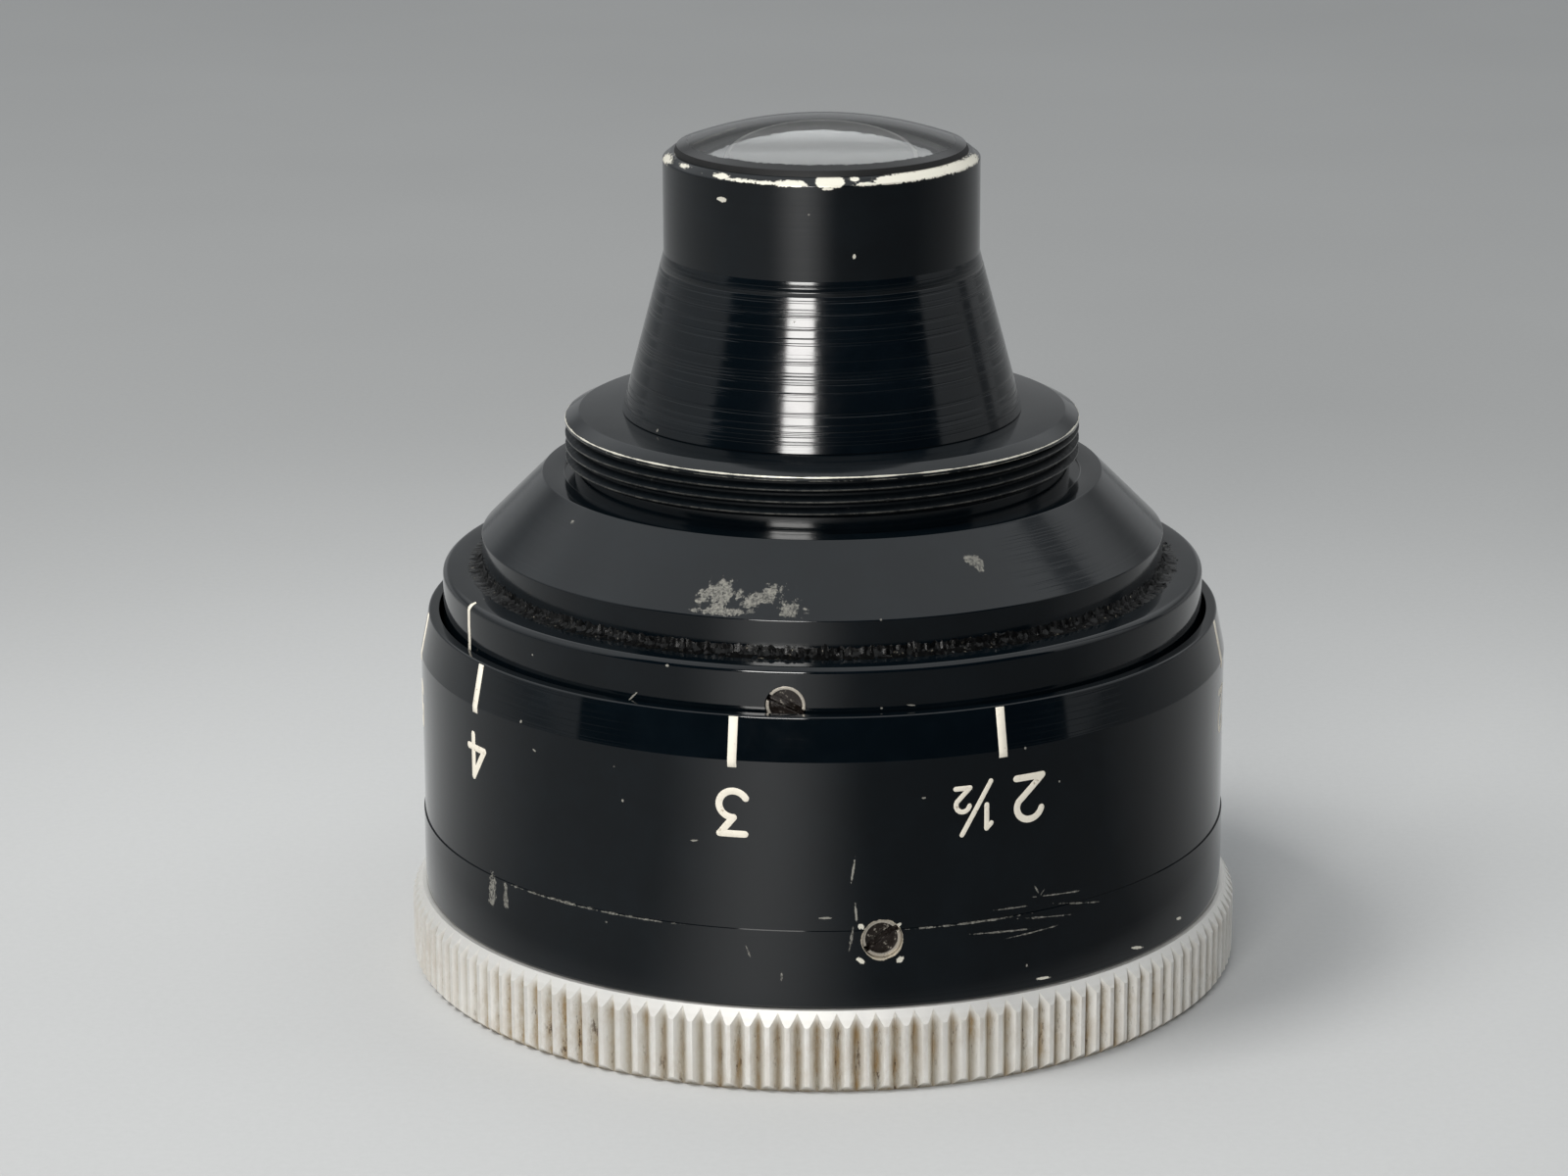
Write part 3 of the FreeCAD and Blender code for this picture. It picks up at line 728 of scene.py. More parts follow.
def wrap_round(piece, radius):
    """Wrap a flat piece round the axis, so that x runs round a cylinder from the front."""
    for vertex in piece.data.vertices:
        angle = vertex.co.x / (radius * MM)
        reach = radius * MM - vertex.co.y
        vertex.co.x, vertex.co.y = reach * math.sin(angle), -reach * math.cos(angle)
    piece.data.update()


def figure(text, centre, top, height, width, relief, narrow=1.0):
    """Strokes of one figure, upside down as on the lens, its foot at the top. The round cutter
    starts anew at each sharp corner."""
    made = []
    for path in FIGURES[text]:
        points = [Vector((centre - x * height * narrow, top - y * height)) for x, y in path]
        runs = [end - start for start, end in zip(points, points[1:])]
        sharp = [number for number in range(1, len(runs))
                 if runs[number - 1].angle(runs[number]) > math.radians(40)]
        for start, end in zip([0] + sharp, sharp + [len(runs)]):
            made.append(stroke(points[start:end + 1], width, relief))
    return made


# Steps of the work. Places of wear are an angle from the front, a radius, a height, half a
# width, half a height, a tilt and how ragged the edge is. Lengths are in mm, angles in degrees.

class CONVERTER_OT_mount_body(bpy.types.Operator):
    """Turn the fixed body: wall, cone, seat face and rear thread"""
    bl_idname = "converter.mount_body"
    bl_label = "Mount body"

    def execute(self, context):
        sizes, colours = chosen(context)
        foot, top = lowest("mount_body"), highest("mount_body")
        wall = outer_radius("mount_body")
        bore, web, room, helicoid = 7.98, 16.89, 12.95, 14.50
        thread, seat, relief = 11.0, 12.0, 10.6
        root = thread - sizes.thread_depth
        step = lowest("index_ring") - 0.6
        cone_foot = 19.0
        seat_z = cone_foot + wall - seat
        body = turned("mount_body_turned", rounded([
            (room, foot), (helicoid, foot), (helicoid, step), (wall, step),
            (wall, cone_foot, 0.10), (seat, seat_z, 0.06), (thread + 0.05, seat_z, 0.07),
            (thread + 0.05, seat_z - 0.10), (relief, seat_z - 0.10),
            (relief, seat_z + 0.55), (root, seat_z + 0.62), (root, top - 0.52),
            (thread, top - 0.46, 0.02), (thread, top - 0.30, 0.05), (10.4, top, 0.10),
            (bore, top), (bore, web), (room, web)]), steps=320)
        ridge = self.thread(sizes.thread_pitch, root, thread, seat_z + 0.55)
        body = join("mount_body_turned", [body, ridge])
        smooth(body, 40)
        scuffs = [
            (-18.0, 13.9, 19.75, 0.72, 0.40, 0, 0.42), (-10.6, 13.9, 19.75, 0.86, 0.22, -18, 0.5),
            (-16.2, 14.45, 19.20, 1.25, 0.11, -2, 0.5), (-5.5, 14.25, 19.40, 0.40, 0.20, 0, 0.5),
            (27.6, 12.98, 20.67, 0.36, 0.22, 20, 0.35), (28.4, 13.3, 20.35, 0.16, 0.16, 10, 0.5),
            (-56.2, 12.55, 21.1, 0.08, 0.06, 0, 0.3)]
        edges = [(thread, top - 0.31, 0.06, 0.20), (thread, top - 0.46, 0.04, 0.03)]
        lacquer = black_lacquer("body_black_lacquer", colours, (), edges, (), scuffs,
                                line_pitch=0.10, lined=(19.1, 21.6), softness=0.09)
        crest = thread - 0.03
        # painted shade in the grooves of the thread, below the crests
        paint(body, lacquer,
              (painted_shade_thread("thread_painted_shade", colours),
               lambda r, z, n: seat_z + 0.3 < z < top - 0.5 and r < crest),
              (grey_crest("thread_crest", colours),
               lambda r, z, n: seat_z + 0.3 < z < top - 0.5 and r >= crest))
        hand_over(body, "rear_body", "black_lacquer", "mount_body")
        return {"FINISHED"}

    def thread(self, pitch, root, crest, start):
        """Three turns of thread that fade out at both ends, behind the lens."""
        steps, turns, fade = 160, 3, 16
        inside = root - 0.04
        half = [(inside, 0.46), (crest - 0.015, 0.07), (crest, 0.04)]
        outline = [(radius, start - pitch * share) for radius, share in half]
        outline += [(radius, start + pitch * share) for radius, share in reversed(half)]
        ridge = helix("rear_thread", outline, pitch, turns, steps)
        rings = turns * steps + 1
        across = len(ridge.data.vertices) // rings
        for number, vertex in enumerate(ridge.data.vertices):
            ring = number // across
            left = min(ring, rings - 1 - ring)
            if left < fade:
                share = 1 - (crest - inside) / crest * (1 - left / fade)
                vertex.co.x *= share
                vertex.co.y *= share
        ridge.rotation_euler.z = math.pi / 2
        settle(ridge)
        return ridge


class CONVERTER_OT_index_ring(bpy.types.Operator):
    """Turn the index ring, drill it for its screws and paint its line"""
    bl_idname = "converter.index_ring"
    bl_label = "Index ring"

    def execute(self, context):
        sizes, colours = chosen(context)
        bottom, top = lowest("index_ring"), highest("index_ring")
        outer, bore, rounding = outer_radius("index_ring"), 14.70, 0.30
        ring = turned("index_ring_turned", rounded([
            (bore, bottom), (outer, bottom), (outer, top - 0.16, 0.25),
            (outer - 0.18, top, 0.22), (bore, top, 0.10)]), steps=320)
        drill(ring, sizes.screw_radius + 0.03, RING_SCREW, outer, top - 1.59)
        smooth(ring, 40)
        pale = [(-28.4, outer, 15.80, 0.30, 0.035, -45, 0.3), (12.0, outer, 15.9, 0.16, 0.03, 8, 0.3),
                (-22.8, 16.36, 17.31, 0.07, 0.05, 0, 0.3), (-47.0, 16.36, 16.6, 0.04, 0.04, 0, 0.3),
                (7.8, outer, 15.85, 0.05, 0.04, 0, 0.3)]
        paint(ring, black_lacquer("ring_black_lacquer", colours, (), (), pale, tool_lines=0.04))
        hand_over(ring, "rear_body", "black_lacquer", "index_ring")

        middle = math.radians(-65.0) * outer
        wobble = [(0.05, 0.08), (0.02, 0.18), (0, 0.30), (-0.02, 0.9), (0.01, 1.5), (-0.01, 2.3)]
        line = join("index_line", [stroke([(middle + x, top - z) for x, z in wobble],
                                          sizes.figure_stroke * 0.9, sizes.paint_relief)])
        for vertex in line.data.vertices:
            rise = max(0.0, vertex.co.z / MM - (top - 0.28))
            vertex.co.y += (rounding - math.sqrt(max(0.0, rounding ** 2 - rise ** 2))) * MM
        wrap_round(line, outer)
        smooth(line, 60, even=False)
        paint(line, engraving_paint("index_cream_paint", colours))
        hand_over(line, "rear_body", "black_lacquer")
        return {"FINISHED"}


class CONVERTER_OT_nose_tube(bpy.types.Operator):
    """Turn the tapered nose tube and its burnished rim"""
    bl_idname = "converter.nose_tube"
    bl_label = "Nose tube"

    def execute(self, context):
        colours = chosen(context)[1]
        foot, top = lowest("nose_tube"), highest("nose_tube")
        base_z = highest("mount_body")
        base, nose, rim = outer_radius("nose_tube"), 6.71, 6.37
        cone_top, line_z = base_z + 6.85, base_z + 6.25
        line_r = nose + (base - nose) * 0.6 / 6.85
        spigot, lens_bore, bore, stop_r = 7.95, 6.30, 5.30, 6.30
        glass_foot = lowest("rear_lens_flint")
        tube = turned("nose_tube_turned", rounded([
            (stop_r, foot), (spigot, foot), (spigot, base_z), (base, base_z, 0.04),
            (line_r + 0.009, line_z - 0.035), (line_r - 0.018, line_z),
            (line_r - 0.009, line_z + 0.035), (nose, cone_top, 0.12),
            (nose, top - 0.27, 0.12), (rim, top, 0.06),
            (lens_bore - 0.13, top, 0.03), (lens_bore - 0.13, top - 0.05),
            (lens_bore, top - 0.23), (lens_bore, glass_foot), (bore, glass_foot),
            (bore, foot + 2.6), (stop_r, foot + 2.6)]), steps=288)
        smooth(tube, 40)
        spots = [
            (-39.5, 6.56, 35.27, 0.42, 0.10, 0, 0.35), (-30.0, 6.63, 35.21, 0.8, 0.06, 0, 0.6),
            (-21.0, 6.64, 35.20, 0.9, 0.06, 0, 0.6), (-12.0, 6.62, 35.21, 0.72, 0.12, 0, 0.3),
            (-9.0, 6.60, 35.20, 0.40, 0.11, 0, 0.3),
            (0.3, 6.54, 35.28, 0.36, 0.20, 0, 0.12), (4.6, 6.54, 35.28, 0.36, 0.20, 0, 0.12),
            (2.4, 6.55, 35.28, 0.42, 0.19, 0, 0.08), (1.5, 6.70, 35.05, 0.20, 0.07, 0, 0.3),
            (11.6, 6.45, 35.36, 0.22, 0.06, 0, 0.35), (15.8, 6.66, 35.17, 0.52, 0.07, 0, 0.5),
            (25.0, 6.55, 35.25, 0.75, 0.16, 0, 0.20), (33.0, 6.52, 35.28, 1.0, 0.17, 1, 0.22),
            (43.0, 6.51, 35.30, 1.2, 0.18, 0, 0.25), (58.0, 6.52, 35.29, 1.3, 0.18, 0, 0.3),
            (72.0, 6.56, 35.27, 1.2, 0.14, 0, 0.45), (-62.0, 6.5, 35.33, 0.4, 0.06, 0, 0.5),
            (-38.0, 6.71, 34.34, 0.24, 0.11, 0, 0.22), (11.0, 6.71, 32.2, 0.06, 0.09, 0, 0.25),
            (-80.0, 6.6, 35.25, 0.8, 0.14, 0, 0.5), (120.0, 6.6, 35.25, 1.8, 0.10, 0, 0.6),
            (-150.0, 6.6, 35.25, 1.2, 0.10, 0, 0.6)]
        scuffs = [(-54.5, 8.5, 24.5, 0.07, 0.07, 0, 0.3)]
        edges = [(6.60, top - 0.15, 0.05, 0.09)]
        paint(tube, black_lacquer("nose_black_lacquer", colours, spots, edges, (), scuffs,
                                  tool_lines=0.42, line_pitch=0.26,
                                  lined=(base_z + 0.3, cone_top - 0.4), softness=0.10))
        hand_over(tube, "rear_body", "black_lacquer", "nose_tube")
        return {"FINISHED"}


class CONVERTER_OT_rear_lenses(bpy.types.Operator):
    """Grind the domed rear lens and the flat one cemented under it"""
    bl_idname = "converter.rear_lenses"
    bl_label = "Rear lenses"

    def execute(self, context):
        radius, curve, inner_curve = outer_radius("rear_lens_crown"), 17.5, 13.0
        top, inner_z = highest("rear_lens_crown"), lowest("rear_lens_crown")
        flat_z, clear, haze = lowest("rear_lens_flint"), "#FBFCFA", "#FBFBF8"
        shoulder, lip = radius - 0.16, radius - 0.10
        side_z = top - sag(curve, shoulder) - 0.40
        black, cement = edge_black("lens_edge_black"), clear_cement("lens_cement")
        crown = lens("rear_crown_lens", bowl(inner_curve, inner_z, radius, 1),
                     bowl(curve, top, shoulder, -1, 28), [(radius, side_z), (lip, side_z + 0.28)])
        paint(crown, optical_glass("crown_glass", CROWN, clear)[0],
              (painted_dome("crown_painted_dome", CROWN, clear, shoulder - 0.45),
               lambda r, z, n: n.z > 0.8),
              (cement, lambda r, z, n: n.z < -0.3),
              (black, lambda r, z, n: r > shoulder and n.z > -0.2))
        hand_over(crown, "rear_body", "optical_glass", "rear_lens_crown")

        flint = lens("rear_flint_lens", [(0, flat_z), (radius, flat_z)],
                     bowl(inner_curve, inner_z - 0.02, radius, 1))
        # painted reflection on the flat back: a white film that ends in a ring
        paint(flint, optical_glass("flint_glass", FLINT, haze)[0],
              (cement, lambda r, z, n: n.z > 0.3),
              (black, lambda r, z, n: abs(n.z) < 0.2),
              (painted_reflection_back("flint_painted_reflection_back", FLINT, haze, 3.4),
               lambda r, z, n: n.z < -0.9 and r < radius))
        hand_over(flint, "rear_body", "optical_glass", "rear_lens_flint")
        return {"FINISHED"}


class CONVERTER_OT_front_lenses(bpy.types.Operator):
    """Grind the front meniscus and the cemented pair behind it"""
    bl_idname = "converter.front_lenses"
    bl_label = "Front lenses"

    def execute(self, context):
        black, cement = edge_black("front_edge_black"), clear_cement("pair_cement")
        pair_glass = optical_glass("pair_glass", FLINT, "#FAFAF6")[0]

        front_curve, back_curve, thickness = 45.0, 13.0, 1.3
        radius, front_z = outer_radius("front_lens_meniscus"), lowest("front_lens_meniscus")
        rim_z, clear = highest("front_lens_meniscus"), radius - 1.8
        meniscus = lens("front_meniscus_lens", bowl(front_curve, front_z, radius, 1),
                        bowl(back_curve, front_z + thickness, clear, 1), [(radius, rim_z)])
        paint(meniscus, optical_glass("meniscus_glass", CROWN, "#F7FAF7")[0],
              (black, lambda r, z, n: r > clear and (abs(n.z) < 0.2 or z > rim_z - 0.01)))
        hand_over(meniscus, "front_group", "optical_glass", "front_lens_meniscus")

        front_curve, cemented_curve, back_curve = 30.0, 18.0, 80.0
        radius = outer_radius("front_lens_biconcave")
        open_r, foot_z = radius - 0.6, lowest("front_lens_biconcave")
        front_z = foot_z + sag(front_curve, open_r)
        rear_z = highest("front_lens_biconcave") - sag(cemented_curve, radius)
        hollow = lens("front_hollow_lens", bowl(front_curve, front_z, open_r, -1),
                      bowl(cemented_curve, rear_z, radius, 1), [(radius, foot_z)])
        paint(hollow, pair_glass, (cement, lambda r, z, n: n.z > 0.3),
              (black, lambda r, z, n: abs(n.z) < 0.2 or (n.z < -0.99 and r > open_r)))
        hand_over(hollow, "front_group", "optical_glass", "front_lens_biconcave")

        full = lens("front_positive_lens",
                    bowl(cemented_curve, lowest("front_lens_positive"), radius, 1),
                    bowl(back_curve, highest("front_lens_positive"), radius, -1))
        paint(full, pair_glass, (cement, lambda r, z, n: n.z < -0.3),
              (black, lambda r, z, n: abs(n.z) < 0.2))
        hand_over(full, "front_group", "optical_glass", "front_lens_positive")
        return {"FINISHED"}


class CONVERTER_OT_grip_ring(bpy.types.Operator):
    """Turn the grip ring and cut its knurl and its accessory thread"""
    bl_idname = "converter.grip_ring"
    bl_label = "Grip ring"

    def execute(self, context):
        sizes, colours = chosen(context)
        crest, spigot_top = outer_radius("grip_ring"), highest("grip_ring")
        top = lowest("focus_sleeve")
        mouth, shoulder, room, spigot = 15.75, 12.95, 15.42, 16.52
        columns, foot, lead, rise = 8, 0.35, 0.42, 0.61
        ring = turned("grip_ring_knurled", [
            (mouth + 0.2, 0.0), (crest - foot, 0.0), (crest, foot),
            (crest, top - rise), (crest - lead, top),
            (spigot, top), (spigot, spigot_top), (room, spigot_top),
            (room, 2.9), (shoulder, 2.9), (shoulder, 2.0), (shoulder + 0.1, 1.9), (mouth, 1.9),
            (mouth, 0.2)], steps=sizes.teeth * columns)
        self.knurl(ring, sizes, crest, top, columns, foot, lead, rise)
        # two turns of thread inside the mouth
        thread = helix("front_thread", [(mouth + 0.04, 0.30), (mouth - 0.20, 0.48),
                                        (mouth - 0.20, 0.54), (mouth + 0.04, 0.72)],
                       sizes.front_thread_pitch, 2, 192)
        ring = join("grip_ring_knurled", [ring, thread])
        smooth(ring, 30, even=False)
        paint(ring, satin_nickel("satin_nickel", colours, crest, crest - sizes.tooth_depth, top))
        hand_over(ring, "focus_group", "plated_grip", "grip_ring")
        return {"FINISHED"}

    def knurl(self, ring, sizes, crest, top, columns, foot, lead, rise):
        """Push each column of points in to the V cut's depth at its place in the tooth, with the
        crest a little rounded. Points on the chamfers slide along them, so the teeth run out."""
        depths = (0.0, 0.05, 0.34, 0.67, 1.0, 0.67, 0.34, 0.05)
        pitch = TURN / sizes.teeth
        for vertex in ring.data.vertices:
            radius = math.hypot(vertex.co.x, vertex.co.y) / MM
            height = vertex.co.z / MM
            angle = math.atan2(vertex.co.x, -vertex.co.y) % pitch
            column = round(angle / pitch * columns) % columns
            limit = crest - sizes.tooth_depth * depths[column]
            if radius <= limit:
                continue
            if height > top / 2:
                height = min(top, top - (limit - crest + lead) * rise / lead)
            else:
                height = max(0.0, limit - crest + foot)
            vertex.co.x *= limit / radius
            vertex.co.y *= limit / radius
            vertex.co.z = height * MM
        ring.data.update()


class CONVERTER_OT_focus_sleeve(bpy.types.Operator):
    """Turn the focus sleeve and drill it for its screws"""
    bl_idname = "converter.focus_sleeve"
    bl_label = "Focus sleeve"

    def execute(self, context):
        sizes, colours = chosen(context)
        bottom, top = lowest("focus_sleeve"), highest("focus_sleeve")
        band = outer_radius("focus_sleeve")
        scale, bore = band - sizes.wall_step, 16.55
        cone, screw_z = scale - 0.37, bottom + 2.93
        sleeve = turned("focus_sleeve_turned", rounded([
            (bore, bottom), (band, bottom, 0.12), (band, bottom + 3.34),
            (scale, bottom + 3.34), (scale, top - 1.8, 0.10), (cone, top, 0.10), (bore, top, 0.05)]),
            steps=360)
        drill(sleeve, sizes.screw_radius + 0.03, SLEEVE_SCREW, band, screw_z)
        smooth(sleeve, 40)
        spots = [
            (48.0, band, 3.92, 0.40, 0.06, 14, 0.3), (59.0, band, 4.22, 0.24, 0.06, 14, 0.3),
            (30.5, band, 3.86, 0.32, 0.06, 4, 0.3),
            (4.6, band, 6.98, 0.13, 0.11, 30, 0.3), (9.6, band, 6.98, 0.12, 0.07, -30, 0.3),
            (4.5, band, 5.55, 0.20, 0.10, 40, 0.3), (9.8, band, 5.52, 0.15, 0.12, -40, 0.3)]
        pale = [(-45.8, scale, 14.04, 0.06, 0.06, 0, 0.2), (-28.2, scale, 11.7, 0.05, 0.06, 0, 0.2),
                (-17.8, scale, 10.41, 0.16, 0.04, -6, 0.3), (-43.2, scale, 12.99, 0.09, 0.04, 20, 0.3),
                (33.0, scale, 12.19, 0.04, 0.04, 0, 0.2), (13.0, scale, 12.3, 0.08, 0.04, 0, 0.3),
                (27.5, scale, 13.88, 0.05, 0.05, 0, 0.2), (28.0, band, 4.56, 0.04, 0.06, 0, 0.2),
                (3.5, scale, 9.35, 0.045, 0.50, 8, 0.35), (3.9, scale, 7.6, 0.05, 0.34, -4, 0.4),
                (-0.2, scale, 7.38, 0.26, 0.04, 0, 0.4)]
        scuffs = [(-52.8, band, 6.20, 0.26, 0.62, 0, 0.35), (-49.6, band, 6.15, 0.15, 0.62, 0, 0.35),
                  (24.0, band, 6.22, 1.0, 0.03, 4, 0.5), (28.5, band, 5.95, 0.9, 0.03, -3, 0.5),
                  (25.5, scale, 7.15, 0.8, 0.025, 2, 0.5), (33.0, scale, 7.35, 1.1, 0.03, 5, 0.5),
                  (31.0, band, 6.5, 1.3, 0.03, 7, 0.6), (36.5, band, 6.75, 0.8, 0.03, 10, 0.6),
                  (29.5, scale, 7.75, 0.20, 0.025, 60, 0.5), (30.5, scale, 7.6, 0.16, 0.025, -50, 0.5),
                  (3.2, scale, 6.4, 0.05, 0.5, 10, 0.5), (-10.5, band, 5.9, 0.035, 0.20, -20, 0.4),
                  (-6.0, band, 4.9, 0.04, 0.18, 0, 0.4),
                  (-38.0, band, 6.78, 2.4, 0.035, 0, 0.6), (-28.0, band, 6.78, 1.8, 0.03, 0, 0.6),
                  (19.5, band, 6.79, 2.0, 0.03, 0, 0.5)]
        finish = black_lacquer("sleeve_black_lacquer", colours, spots, [(cone, top, 0.04, 0.01)],
                               pale, scuffs, tool_lines=0.03, softness=0.045)
        self.bright_hole(finish, around(SLEEVE_SCREW, band, screw_z) / MM, sizes.screw_radius)
        paint(sleeve, finish)
        hand_over(sleeve, "focus_group", "black_lacquer", "focus_sleeve")
        return {"FINISHED"}

    def bright_hole(self, finish, centre, screw_radius):
        """Bare metal round the mouth of the front screw hole, where drivers have slipped."""
        shader, add = finish.node_tree.nodes["Principled BSDF"], partial(add_node, finish.node_tree)
        place = surface_parts(add)[0]
        local = add("Mapping", (place, centre, (0, 0, math.radians(SLEEVE_SCREW)), (1, 8, 1)),
                    vector_type="TEXTURE")
        reach = add("VectorMath LENGTH", (local,))
        uneven = add("TexNoise", noise(place, 0.3, 3.0, 0.7))
        reach = add("Math MULTIPLY_ADD", (uneven, 0.16, reach))
        mask = add("MapRange", (reach, screw_radius + 0.15, screw_radius + 0.12))
        for kind, socket, value in (("Mix", "Metallic", 0.4), ("Mix", "Roughness", 0.35),
                                    ("Mix RGBA", "Base Color", "#C8BEAC")):
            before = shader.inputs[socket].links[0].from_socket
            give(shader, {socket: add(kind, (mask, before, value))})


class CONVERTER_OT_small_screws(bpy.types.Operator):
    """Make one headless screw, and put three in the sleeve and three in the index ring"""
    bl_idname = "converter.small_screws"
    bl_label = "Small screws"

    def execute(self, context):
        sizes, colours = chosen(context)
        sleeve_outer, ring_outer = 17.22, 16.24
        self.set_of_screws(sizes, "sleeve_screws_slotted", "sleeve_screws", sleeve_outer,
                           length=1.67, height=6.40, first=SLEEVE_SCREW, tilt=-35,
                           body="focus_group",
                           finish=old_steel("sleeve_screw_steel", colours, sleeve_outer))
        self.set_of_screws(sizes, "index_ring_screws_slotted", "index_ring_screws", ring_outer,
                           length=1.5, height=15.96, first=RING_SCREW, tilt=25,
                           body="rear_body",
                           finish=old_steel("index_screw_steel", colours, ring_outer))
        return {"FINISHED"}

    def sink_face(self, screw, length):
        """Leave a narrow rim round the outer end, and sink the face inside it."""
        choose_faces(screw, lambda centre: centre.y < (-length / 2 + 0.01) * MM)
        bpy.ops.mesh.inset(thickness=0.13 * MM)
        bpy.ops.mesh.extrude_region_move(TRANSFORM_OT_translate={"value": (0, 0.22 * MM, 0)})
        bpy.ops.mesh.inset(thickness=0.08 * MM, depth=0.0)
        bpy.ops.mesh.select_mode(type="VERT")
        bpy.ops.object.mode_set(mode="OBJECT")

    def set_of_screws(self, sizes, name, node, outer, length, height, first, tilt, body, finish):
        """Three screws round the axis, from one that is modelled once."""
        bpy.ops.object.select_all(action="DESELECT")
        bpy.ops.mesh.primitive_cylinder_add(vertices=40, radius=sizes.screw_radius * MM,
                                            depth=length * MM, rotation=(math.pi / 2, 0, 0))
        screw = bpy.context.object
        settle(screw)
        self.sink_face(screw, length)
        bpy.ops.object.select_all(action="DESELECT")
        bpy.ops.mesh.primitive_cube_add(size=MM)
        cutter = bpy.context.object
        cutter.scale = (4, 2 * sizes.slot_depth, sizes.slot_width)
        cutter.rotation_euler.y = math.radians(tilt)
        cutter.location.y = -length / 2 * MM
        cut(screw, cutter)
        finish_with(screw, "Broken rim", "BEVEL", width=0.05 * MM, segments=2,
                    limit_method="ANGLE", angle_limit=math.radians(40))
        made = []
        for turn in range(3):
            copy = screw.copy()
            copy.data = screw.data.copy()
            bpy.context.scene.collection.objects.link(copy)
            copy.location = around(first + 120 * turn, outer - length / 2, height)
            copy.rotation_euler.z = math.radians(first + 120 * turn)
            settle(copy)
            made.append(copy)
        bpy.data.objects.remove(screw)
        screws = join(name, made)
        smooth(screws, 40)
        paint(screws, finish)
        hand_over(screws, body, "steel_screw", node)


class CONVERTER_OT_distance_scale(bpy.types.Operator):
    """Engrave the distance figures and their ticks round the sleeve"""
    bl_idname = "converter.distance_scale"
    bl_label = "Distance scale"

    def execute(self, context):
        sizes, colours = chosen(context)
        scale = outer_radius("focus_sleeve") - sizes.wall_step
        sleeve_top = highest("focus_sleeve")
        marks = [("4", -56.4), ("3", -12.5), ("2 1/2", 24.2), ("2", 78.2), ("5", -83.6),
                 ("7", -114.4), ("10", -137.4), ("15", -155.4), ("inf", -191.0)]
        strokes, ticks = [], []
        for text, angle in marks:
            strokes += self.number(text, math.radians(angle) * scale, sleeve_top - 3.08,
                                   sizes.figure_height, sizes.figure_stroke, sizes.paint_relief)
        figures = join("distance_figures", strokes)
        wrap_round(figures, scale)
        smooth(figures, 60, even=False)
        paint(figures, engraving_paint("figure_cream_paint", colours))
        hand_over(figures, "focus_group", "black_lacquer")

        for text, angle in marks:
            tick = self.tick(sizes, scale, sleeve_top - 0.06, sleeve_top - 1.8)
            tick.rotation_euler.z = math.radians(angle)
            settle(tick)
            ticks.append(tick)
        ticks = join("distance_ticks", ticks)
        smooth(ticks, 50, even=False)
        paint(ticks, engraving_paint("tick_cream_paint", colours))
        hand_over(ticks, "focus_group", "black_lacquer")
        return {"FINISHED"}

    def number(self, text, middle, top, height, width, relief):
        """Strokes of one marking. Upside down, so its first figure is on the right."""
        if text == "2 1/2":
            small, thin = height * 0.55, width * 0.72
            made = figure("2", middle + 1.22, top, height, width, relief, 1.1)
            made += figure("1", middle - 0.66, top - height + small - 0.1, small, thin, relief)
            made += figure("/", middle - 1.17, top, height * 1.1, thin, relief, 1.2)
            made += figure("2", middle - 1.76, top - 0.1, small, thin, relief)
            return made
        if text in ("10", "15"):
            return (figure(text[0], middle + 0.75, top, height, width, relief)
                    + figure(text[1], middle - 0.75, top, height, width, relief))
        return figure(text, middle, top, height, width, relief)

    def tick(self, sizes, scale, high, bend):
        """Flat bar that lies on the coned edge of the sleeve, its ends a little ragged."""
        low, lean = high - sizes.tick_length, 0.37 / 1.8
        bpy.ops.object.select_all(action="DESELECT")
        bpy.ops.mesh.primitive_cube_add(size=MM, location=(0, -scale * MM, (low + high) / 2 * MM))
        bar = bpy.context.object
        bar.scale = (sizes.tick_width, 0.2, high - low)
        settle(bar)
        bpy.ops.object.mode_set(mode="EDIT")
        bpy.ops.mesh.select_all(action="SELECT")
        bpy.ops.mesh.bisect(plane_co=(0, 0, bend * MM), plane_no=(0, 0, 1))
        bpy.ops.object.mode_set(mode="OBJECT")
        chance = random.Random(7)
        for vertex in bar.data.vertices:
            outer = vertex.co.y < -scale * MM
            surface = scale - max(0.0, vertex.co.z / MM - bend) * lean
            reach = math.sqrt(surface ** 2 - (vertex.co.x / MM) ** 2)
            vertex.co.y = -(reach + (sizes.paint_relief if outer else -0.08)) * MM
            vertex.co.x += chance.uniform(-0.015, 0.015) * MM
        finish_with(bar, "Soft ends", "BEVEL", width=0.012 * MM, segments=1)
        return bar


class CONVERTER_OT_corner_grime(bpy.types.Operator):
    """Lay the old dirt in the corner between the body and the index ring"""
    bl_idname = "converter.corner_grime"
    bl_label = "Corner grime"

    def execute(self, context):
        foot, wall = highest("index_ring"), outer_radius("mount_body")
        width = chosen(context)[0].grime_width
        slope = [(1, -0.04), (0.85, 0.03), (0.65, 0.08), (0.45, 0.12), (0.28, 0.19), (0.15, 0.29)]
        bead = turned("corner_grime", [
            (wall - 0.02, foot - 0.04), *[(wall + width * share, foot + z) for share, z in slope],
            (wall + 0.04, foot + 0.42), (wall - 0.02, foot + 0.5)], steps=1100)
        lumps = bpy.data.textures.new("crumbs", "CLOUDS")
        lumps.noise_scale = 0.30 * MM
        lumps.noise_depth = 3
        lumps.noise_type = "HARD_NOISE"
        finish_with(bead, "Crumbs", "DISPLACE", texture=lumps, texture_coords="LOCAL",
                    strength=0.42 * MM, mid_level=0.62)
        smooth(bead, 30, even=False)
        paint(bead, corner_dirt("dried_oil_and_lint"))
        hand_over(bead, "rear_body", "black_lacquer")
        return {"FINISHED"}


